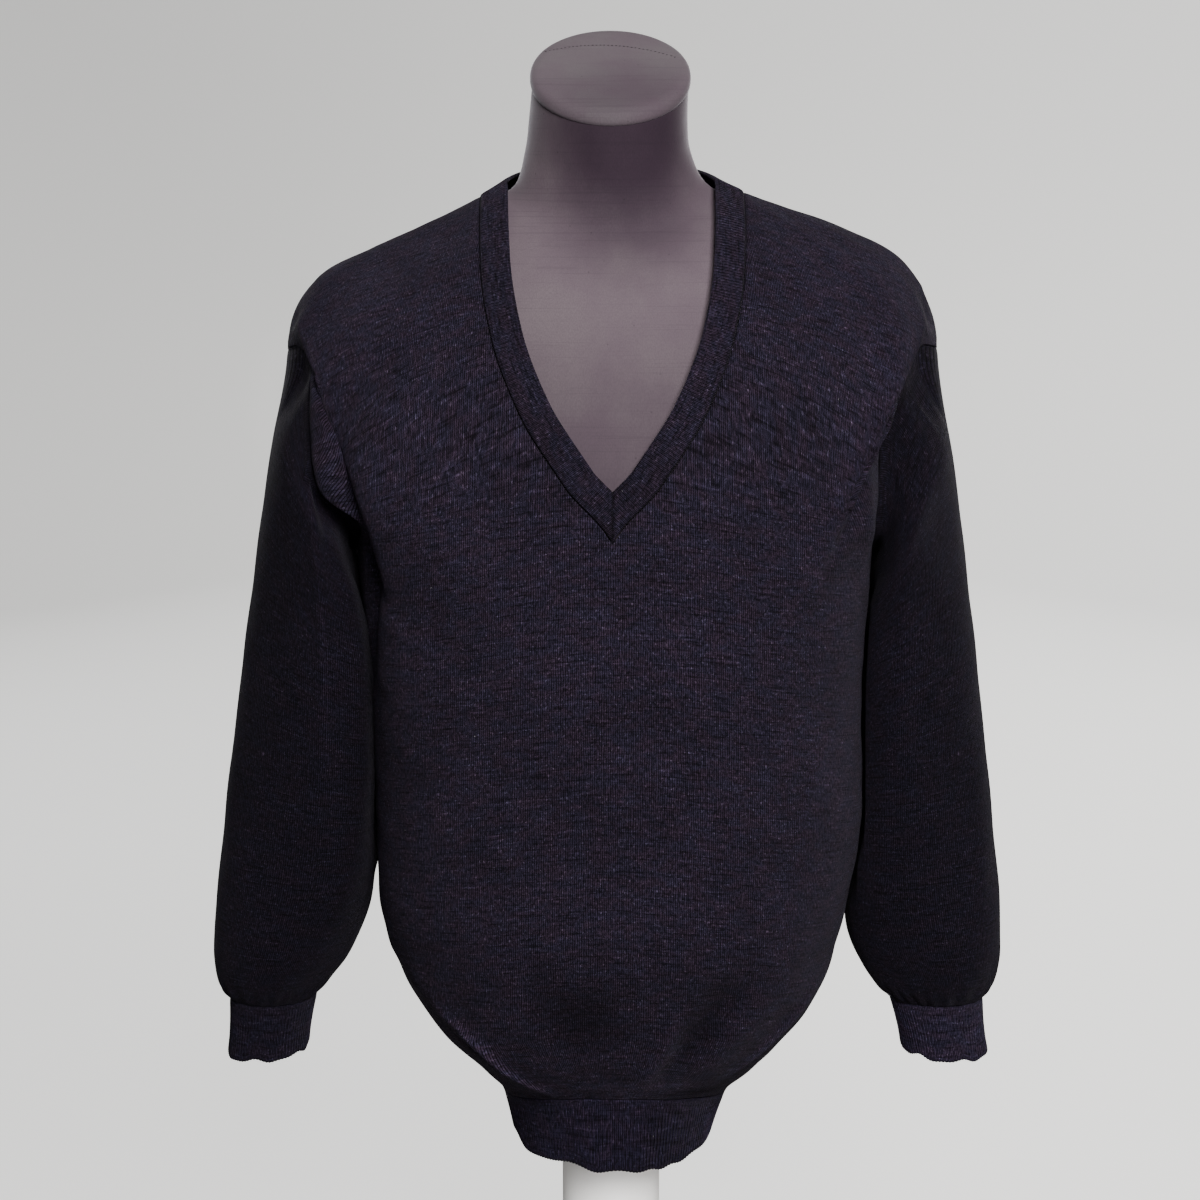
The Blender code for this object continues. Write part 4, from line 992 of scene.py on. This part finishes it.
# ---- the dress form
form = {
    "columns": 144,
    "neck": (
        (0.056, 0.0535, 0.054, 0.054, 1.093, 1.093, 1.064, 1.122, 2.0, 1.0),
        (0.0583, 0.053, 0.05, 0.056, 1.07, 1.07, 1.041, 1.095, 2.0, 1.0),
        (0.0612, 0.055, 0.048, 0.058, 1.048, 1.048, 1.018, 1.067, 2.0, 1.1),
    ),
    "carried": (0.0, 0.5, 1.0, 1.8, 2.6, 3.4),
    "torso": (
        (0.199, 0.198, 0.111, 0.108, 0.942, 0.952, 0.835, 0.88, 2.2, 1.6),
        (0.192, 0.192, 0.113, 0.109, 0.9, 0.905, 0.805, 0.845, 2.3, 1.6),
        (0.174, 0.174, 0.116, 0.11, 0.83, 0.83, 0.77, 0.79, 2.3, 1.6),
        (0.162, 0.162, 0.114, 0.108, 0.73, 0.73, 0.7, 0.71, 2.3, 1.6),
        (0.148, 0.148, 0.104, 0.098, 0.62, 0.62, 0.61, 0.61, 2.2, 1.6),
        (0.154, 0.154, 0.11, 0.104, 0.54, 0.54, 0.54, 0.54, 2.2, 1.6),
        (0.15, 0.15, 0.106, 0.101, 0.515, 0.515, 0.515, 0.515, 2.2, 1.6),
        (0.14, 0.14, 0.097, 0.093, 0.505, 0.505, 0.505, 0.505, 2.2, 1.6),
    ),
    "rowsPerRing": 6,
    # how far under the cloth the form lies: at the shoulders, more round the neck and at the chest
    "shoulderClearance": 0.0022, "neckClearance": 0.0016, "neckClearanceEnd": 1.4,
    "chestClearance": 0.0055, "chestSpread": 0.6,
    "bottom": 0.505, "socketRadius": 0.038, "socketDepth": 0.045,
    "capThickness": 0.011, "capRim": 0.0015, "capSegments": 128,
    # share of the cap's radius and of its thickness, from the middle of the top round the rim
    "capProfile": (
        (0, 0.97), (0.3, 0.975), (0.6, 0.985), (0.8, 1.0), (0.86, 1.0), (0.905, 0.975), (0.945, 0.92),
        (0.975, 0.82), (0.993, 0.68), (1.0, 0.5), (1.0, 0.3), (0.993, 0.12), (0.975, 0.0), (0, 0.0),
    ),
    "capSeam": {
        "stitches": 34, "reach": 0.047, "behind": 0.03, "bow": 0.013, "slip": 0.004,
        "thread": 0.00045, "long": 2.4, "flat": 0.7, "lift": 0.2, "tilts": (-0.4, 0.5),
    },
}
jersey = {
    "shade": (0.08, 0.06, 0.075), "main": (0.134, 0.1, 0.122), "pale": (0.16, 0.128, 0.144),
    "capPale": (0.148, 0.128, 0.139), "thread": (0.035, 0.026, 0.032), "threadPale": (0.06, 0.048, 0.055),
    "speck": (0.05, 0.038, 0.048), "speckScale": 70.0, "speckSpread": (0.03, 0.06, 0.45, 0.0),
    # noises: stretch, offset, detail, roughness and limits
    "slow": ((14, 14, 10), (0, 0, 0), 4.0, 0.6), "slowSpread": (0.35, 0.68),
    "grain": ((1500, 1500, 500), (0, 0, 0), 2.0, 0.6), "grainSpread": (0.3, 0.75, 0.0, 0.35),
    "rows": ((12, 12, 900), (0, 0, 0), 1.0, 0.5, 0.58, 0.72, 0.0, 0.25),
    "lowChestShade": (0.84, 0.97, 0.48),  # heights between which the chest darkens downwards, and how much
    # painted shade under the cap, darkest on the front of the neck: the middle of that patch, its half
    # sizes and colour, how much its edge wanders, where it ends, and how dark it is on the torso and on the
    # cap
    "neckPatch": (0.012, -0.06, 1.062), "neckPatchSize": (0.062, 0.07, 0.085),
    "neckShade": (0.235, 0.175, 0.245), "neckWander": 0.25, "neckEdge": (0.55, 1.6),
    "torsoDark": 1.0, "capDark": 0.38,
}


def makeJersey(name, main, pale, neckDark=0.0):
    # a thin stretch cover: fine vertical ribs, a few darker rows, pilling and slow mottling, and painted
    # shade on the front of the neck and down the low chest
    material, tree, shader = newMaterial(
        name, Roughness=0.78, Sheen_Weight=0.25, Sheen_Roughness=0.4, Sheen_Tint=(0.9, 0.86, 0.95, 1.0),
        Specular_IOR_Level=0.25,
    )
    place = addNode(tree, "ShaderNodeTexCoord").outputs["Object"]
    slow, grain, rows = (noise(tree, place, jersey[key]) for key in ("slow", "grain", "rows"))
    colour = mixColour(tree, ranged(tree, slow, *jersey["slowSpread"]), main, pale)
    colour = mixColour(tree, ranged(tree, grain, *jersey["grainSpread"]), colour, jersey["shade"])
    colour = mixColour(tree, rows, colour, jersey["shade"])
    values = {"Vector": place, "Scale": jersey["speckScale"]}
    specks = addNode(tree, "ShaderNodeTexVoronoi", values).outputs["Distance"]
    colour = mixColour(tree, ranged(tree, specks, *jersey["speckSpread"]), colour, jersey["speck"])
    # painted shade on the front of the neck under the cap
    size = jersey["neckPatchSize"]
    offset = tuple(-middle / half for middle, half in zip(jersey["neckPatch"], size))
    patch = stretched(tree, place, tuple(1 / half for half in size), offset)
    reach = addNode(tree, "ShaderNodeVectorMath", {0: patch}, operation="LENGTH").outputs["Value"]
    reach = calc(tree, "MULTIPLY_ADD", slow, jersey["neckWander"], reach)
    wearAndShade = mixColour(tree, 1.0, colour, jersey["neckShade"], "MULTIPLY")
    colour = mixColour(tree, ranged(tree, reach, *jersey["neckEdge"], neckDark, 0.0), colour, wearAndShade)
    # painted shade: the chest darkens downwards
    height = addNode(tree, "ShaderNodeSeparateXYZ", {0: place}).outputs["Z"]
    colour = mixColour(tree, ranged(tree, height, *jersey["lowChestShade"], 0.0), colour, wearAndShade)
    join(tree, shader.inputs["Base Color"], colour)
    addRelief(tree, shader, grain, 0.00012, 0.6)
    return material


def formRings(angle):
    # the bare neck, then what the cloth hides: rings carried in from the cloth, and the torso's own
    rings = [ringPoint(form["neck"], angle, k + 0 * angle) for k in range(3)]
    for place in form["carried"]:
        normal = ringNormal(body["rings"], angle, place + 0 * angle)
        point = ringPoint(body["rings"], angle, place + 0 * angle)
        chest = np.abs(np.cos(angle)) ** form["chestSpread"] * form["chestClearance"]
        chest = chest * min(1.0, 0.2 + place / 2)
        neck = form["neckClearance"] * max(0.0, form["neckClearanceEnd"] - place)
        clearance = body["knitWall"] + form["shoulderClearance"] + chest + neck
        rings.append(point - normal * clearance[:, None])
    rings += [ringPoint(form["torso"], angle, k + 0 * angle) for k in range(len(form["torso"]))]
    return np.stack(rings)


def makeFormTorso():
    columns = form["columns"]
    angle = np.linspace(0, 2 * np.pi, columns + 1)
    rings = formRings(angle)
    rows = (len(rings) - 1) * form["rowsPerRing"]
    table = alongRings(rings, np.linspace(0, len(rings) - 1, rows + 1))
    bm = bmesh.new()
    bmesh.ops.create_grid(bm, x_segments=columns, y_segments=rows, size=1.0)
    flat = np.array([vert.co for vert in bm.verts])
    column = np.rint((flat[:, 0] + 1) / 2 * columns).astype(int)
    row = np.rint((1 - flat[:, 1]) / 2 * rows).astype(int)
    for vert, point in zip(bm.verts, table[row, column]):
        vert.co = point
    bmesh.ops.remove_doubles(bm, verts=bm.verts, dist=meshing["weld"])
    # close the neck, then turn the underside in to the socket for the pole
    openEdges = [edge for edge in bm.edges if edge.is_boundary]
    top = [edge for edge in openEdges if edge.verts[0].co.z > 0.9]
    bmesh.ops.contextual_create(bm, geom=top)
    low = [edge for edge in openEdges if edge.verts[0].co.z < 0.6]
    for goal, lift in ((form["socketRadius"], 0.0), (form["socketRadius"], form["socketDepth"])):
        made = bmesh.ops.extrude_edge_only(bm, edges=low)["geom"]
        low = [item for item in made if isinstance(item, bmesh.types.BMEdge)]
        for vert in {vert for edge in low for vert in edge.verts}:
            way = Vector((vert.co.x, vert.co.y, 0)).normalized() * goal
            vert.co = Vector((way.x, way.y, form["bottom"] + lift))
    bmesh.ops.contextual_create(bm, geom=low)
    bmesh.ops.recalc_face_normals(bm, faces=bm.faces)
    piece = finishMesh("formTorso", bm)
    piece.data.set_sharp_from_angle(angle=math.radians(50))
    dress(piece, jerseyCover, "jersey", "form_torso")
    return piece


def spinLine(bm, line, segments):
    # spins a line of points once round the upright axis
    edges = [bm.edges.new(pair) for pair in zip(line, line[1:])]
    bmesh.ops.spin(
        bm, geom=line + edges, cent=(0, 0, 0), axis=(0, 0, 1), angle=2 * math.pi, steps=segments,
        use_merge=True,
    )
    bmesh.ops.remove_doubles(bm, verts=bm.verts, dist=meshing["edge"])


def turned(name, profile, segments=96, shape=None):
    # a closed solid spun from radius and height pairs
    bm = bmesh.new()
    spinLine(bm, [bm.verts.new((radius, 0, z)) for radius, z in profile], segments)
    for vert in bm.verts:
        vert.co = shape(vert.co) if shape else vert.co
    bmesh.ops.recalc_face_normals(bm, faces=bm.faces)
    piece = finishMesh(name, bm)
    piece.data.set_sharp_from_angle(angle=math.radians(40))
    return piece


def makeNeckCap():
    # a flat disc with a rounded rim under the cover, sheared to lie on the slanting neck
    right, left, front, back, _, _, frontZ, backZ, *_ = form["neck"][0]
    slope = (backZ - frontZ) / (front + back)
    middle = (frontZ + backZ) / 2 + body["seamGap"]
    radius, thick = (right + left) / 2 + form["capRim"], form["capThickness"]
    middleX, widthways = (left - right) / 2, radius - form["capRim"]

    def slanted(point):
        y = point.y * front / widthways
        return Vector((middleX + point.x, y, middle + y * slope + point.z))

    profile = [(radius * reach, thick * height) for reach, height in form["capProfile"]]
    piece = turned("neckCap", profile, form["capSegments"], slanted)
    dress(piece, capCover, "jersey", "neck_cap")
    # the cover's closing seam crosses the back of the disc: a row of stitches over it
    bm = bmesh.new()
    seam = form["capSeam"]
    for k in range(seam["stitches"]):
        share = (k + 0.5) / seam["stitches"] * 2 - 1
        x = middleX + share * seam["reach"]
        y = seam["behind"] - seam["bow"] * share * share - seam["slip"] * share
        tilt = seam["tilts"][k % 2]
        cos, sin = math.cos(tilt), math.sin(tilt)
        place = Vector((x, y, middle + y * slope + thick + seam["thread"] * seam["lift"]))
        made = bmesh.ops.create_icosphere(bm, subdivisions=1, radius=seam["thread"])["verts"]
        for vert in made:
            long, wide, high = vert.co.x * seam["long"], vert.co.y, vert.co.z * seam["flat"]
            vert.co = Vector((long * cos - wide * sin, long * sin + wide * cos, high)) + place
    stitches = finishMesh("capStitches", bm)
    stitches.data.materials.append(capThread)
    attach(stitches, "root")
    return piece


jerseyCover = makeJersey("jerseyCover", jersey["main"], jersey["pale"], jersey["torsoDark"])
capCover = makeJersey("capCover", jersey["main"], jersey["capPale"], jersey["capDark"])
capThread = makeJersey("capThread", jersey["thread"], jersey["threadPale"])
formTorso = makeFormTorso()
neckCap = makeNeckCap()
print("dress form covered")

# ---- pole and base
stand = {
    "poleRadius": 0.0375, "poleFoot": 0.0065, "poleEdge": 0.0015,
    "poleColour": (0.92, 0.9, 0.88), "poleWorn": (0.5, 0.47, 0.44), "poleMarks": 0.35,
    "baseRadius": 0.16, "collarWidth": 0.007,
    "baseColour": (0.62, 0.61, 0.6), "baseWorn": (0.4, 0.39, 0.38), "baseMarks": 0.5,
    # noises: stretch, offset, detail and roughness
    "wide": ((9, 9, 6), (0, 0, 0), 5.0, 0.65), "fine": ((300, 300, 120), (0, 0, 0), 3.0, 0.6),
}


def makeSmudgeGroup():
    # handling marks and a soft unevenness for painted and moulded surfaces
    group, given, out = newGroup(
        "smudges",
        (("Place", "NodeSocketVector", None), ("Clean", "NodeSocketColor", (0.7, 0.7, 0.7, 1)),
         ("Worn", "NodeSocketColor", (0.5, 0.5, 0.5, 1)), ("Amount", "NodeSocketFloat", 0.4)),
        (("Color", "NodeSocketColor"), ("Roughness", "NodeSocketFloat"), ("Height", "NodeSocketFloat")),
    )
    wide, fine = (noise(group, given["Place"], stand[key]) for key in ("wide", "fine"))
    mark = calc(group, "MULTIPLY", ranged(group, wide, 0.45, 0.75), given["Amount"])
    join(group, out["Color"], mixColour(group, mark, given["Clean"], given["Worn"]))
    rough = calc(group, "MULTIPLY_ADD", wide, 0.25, 0.28)
    join(group, out["Roughness"], calc(group, "MULTIPLY_ADD", fine, 0.1, rough))
    join(group, out["Height"], fine)
    return group


def makePainted(name, group, clean, wearAndShade, amount):
    material, tree, shader = newMaterial(name, Specular_IOR_Level=0.4)
    place = addNode(tree, "ShaderNodeTexCoord").outputs["Object"]
    values = {"Place": place, "Clean": clean, "Worn": wearAndShade, "Amount": amount}
    marks = addNode(tree, "ShaderNodeGroup", node_tree=group)
    for key, value in values.items():
        join(tree, marks.inputs[key], value)
    join(tree, shader.inputs["Base Color"], marks.outputs["Color"])
    join(tree, shader.inputs["Roughness"], marks.outputs["Roughness"])
    addRelief(tree, shader, marks.outputs["Height"], 0.0001, 0.4)
    return material


def makeStand():
    smudges = makeSmudgeGroup()
    poleTop = form["bottom"] + form["socketDepth"] - body["seamGap"]
    foot, edge, radius = stand["poleFoot"], stand["poleEdge"], stand["poleRadius"]
    pole = turned("standPole", (
        (0, poleTop), (radius - edge, poleTop), (radius, poleTop - edge),
        (radius, foot + edge), (radius - edge, foot), (0, foot),
    ))
    white = makePainted("poleWhite", smudges, stand["poleColour"], stand["poleWorn"], stand["poleMarks"])
    dress(pole, white, "pole", "stand_pole")
    socket, base = form["socketRadius"], stand["baseRadius"]
    collar = socket + stand["collarWidth"]
    plate = turned("standBase", (
        (0, foot - body["seamGap"]), (socket, foot - body["seamGap"]), (socket, 0.0335),
        (socket + 0.0005, 0.034), (collar - 0.0015, 0.034), (collar - 0.0004, 0.0336),
        (collar, 0.0325), (collar + 0.001, 0.02),
        (collar + 0.003, 0.0172), (collar + 0.007, 0.0155), (base - 0.02, 0.012), (base - 0.008, 0.0112),
        (base - 0.003, 0.0096), (base, 0.006), (base, 0.002), (base - 0.002, 0.0), (0, 0.0),
    ))
    grey = makePainted("basePaint", smudges, stand["baseColour"], stand["baseWorn"], stand["baseMarks"])
    dress(plate, grey, "base", "stand_base")


makeStand()
print("stand set up")

# ---- studio
studio = {
    "floorRadius": 3.4, "sweepRadius": 1.6, "sweepSteps": 16, "wallHeight": 4.5, "segments": 96,
    "floorColour": (0.8, 0.795, 0.78), "shadeShare": 0.96, "uneven": ((1.2, 1.2, 1.2), (0, 0, 0), 3.0, 0.5),
    # what the paper throws back on the object, how far the lamps light it, and its glow:
    # brighter to the right, dimmer above and brighter near the middle
    "bounceColour": (0.2, 0.195, 0.19), "litShare": 0.45, "glow": 0.875,
    "brighter": 1.85, "brighterFrom": (-1.5, 1.5), "topGlow": 0.84, "topFrom": (0.35, 1.45),
    "floorGlow": 1.3, "floorFrom": (0.3, 2.2),
    "worldColour": (0.92, 0.94, 1.0), "worldStrength": 0.1,
    # place, aim, width, height, watts, colour
    "lamps": (
        ((0.52, -2.2, 2.15), (0.0, 0.0, 0.72), 1.0, 0.9, 98, (1.0, 0.985, 0.97)),
        ((-2.4, -1.2, 1.6), (0.0, 0.0, 0.7), 1.5, 1.8, 1.5, (0.93, 0.96, 1.0)),
        ((2.6, -0.6, 1.9), (0.0, 0.0, 0.7), 1.5, 1.8, 4, (1.0, 0.98, 0.96)),
        # two behind, for the back and the sides
        ((-1.05, 2.1, 1.2), (0.0, 0.0, 0.65), 1.1, 1.3, 34, (0.97, 0.98, 1.0)),
        ((1.05, 2.1, 1.2), (0.0, 0.0, 0.65), 1.1, 1.3, 34, (1.0, 0.985, 0.97)),
    ),
    # a narrow lamp near the floor that reaches the pole under the hem
    "poleLamp": ((0.3, -1.6, 0.08), (0.0, 0.0, 0.225), 5.0, 150), "poleBlend": 0.5, "poleSoft": 0.03,
    "camera": (-0.0085, -1.58, 1.06), "pitch": 78, "lens": 66, "sensor": 36,
}


def hangLamp(lamp, place, aim):
    holder = bpy.data.objects.new(lamp.name, lamp)
    holder.location = place
    holder.rotation_euler = (Vector(aim) - Vector(place)).to_track_quat("-Z", "Y").to_euler()
    holder.visible_camera = False
    bpy.context.scene.collection.objects.link(holder)


def makeStudio():
    radius, sweep = studio["floorRadius"], studio["sweepRadius"]
    bm = bmesh.new()
    line = [bm.verts.new((0, 0, 0)), bm.verts.new((1.0, 0, 0)), bm.verts.new((radius - sweep, 0, 0))]
    for k in range(1, studio["sweepSteps"] + 1):
        turn = math.pi / 2 * k / studio["sweepSteps"]
        x, z = radius - sweep + sweep * math.sin(turn), sweep * (1 - math.cos(turn))
        line.append(bm.verts.new((x, 0, z)))
    line.append(bm.verts.new((radius, 0, studio["wallHeight"])))
    spinLine(bm, line, studio["segments"])
    bmesh.ops.recalc_face_normals(bm, faces=bm.faces)
    floor = finishMesh("studioFloor", bm)
    material, tree, shader = newMaterial("palePaper", Roughness=0.9, Specular_IOR_Level=0.1)
    place = addNode(tree, "ShaderNodeTexCoord").outputs["Object"]
    shade, lit = (
        tuple(value * studio[key] for value in studio["floorColour"]) for key in ("shadeShare", "litShare")
    )
    # the paper looks pale to the camera but throws little light back on the object
    seen = addNode(tree, "ShaderNodeLightPath").outputs["Is Camera Ray"]
    pale = mixColour(tree, noise(tree, place, studio["uneven"]), studio["floorColour"], shade)
    join(tree, shader.inputs["Base Color"], mixColour(tree, seen, studio["bounceColour"], lit))
    join(tree, shader.inputs["Emission Color"], pale)
    parts = addNode(tree, "ShaderNodeSeparateXYZ", {0: place}).outputs
    least, most = studio["glow"], studio["glow"] * studio["brighter"]
    glow = ranged(tree, parts["X"], *studio["brighterFrom"], least, most)
    upwards = ranged(tree, parts["Z"], *studio["topFrom"], 1.0, studio["topGlow"])
    away = addNode(tree, "ShaderNodeVectorMath", {0: place}, operation="LENGTH").outputs["Value"]
    away = ranged(tree, away, *studio["floorFrom"], studio["floorGlow"], 1.0)
    glow = calc(tree, "MULTIPLY", calc(tree, "MULTIPLY", glow, upwards), away)
    join(tree, shader.inputs["Emission Strength"], calc(tree, "MULTIPLY", seen, glow))
    floor.data.materials.append(material)

    world = bpy.data.worlds.new("studioWorld")
    world.use_nodes = True
    background = world.node_tree.nodes["Background"].inputs
    background["Color"].default_value = (*studio["worldColour"], 1)
    background["Strength"].default_value = studio["worldStrength"]
    bpy.context.scene.world = world
    for k, (place, aim, width, height, watts, colour) in enumerate(studio["lamps"]):
        lamp = bpy.data.lights.new(f"softbox{k}", "AREA")
        lamp.shape, lamp.size, lamp.size_y = "RECTANGLE", width, height
        lamp.energy, lamp.color = watts, colour
        hangLamp(lamp, place, aim)
    place, aim, spread, watts = studio["poleLamp"]
    lamp = bpy.data.lights.new("poleLamp", "SPOT")
    lamp.spot_size, lamp.spot_blend = math.radians(spread), studio["poleBlend"]
    lamp.shadow_soft_size, lamp.energy = studio["poleSoft"], watts
    hangLamp(lamp, place, aim)
    lens = bpy.data.cameras.new("camera")
    lens.lens, lens.sensor_width = studio["lens"], studio["sensor"]
    camera = bpy.data.objects.new("camera", lens)
    camera.location = studio["camera"]
    camera.rotation_euler = (math.radians(studio["pitch"]), 0, 0)
    bpy.context.scene.collection.objects.link(camera)
    bpy.context.scene.camera = camera


makeStudio()
print("studio lit")
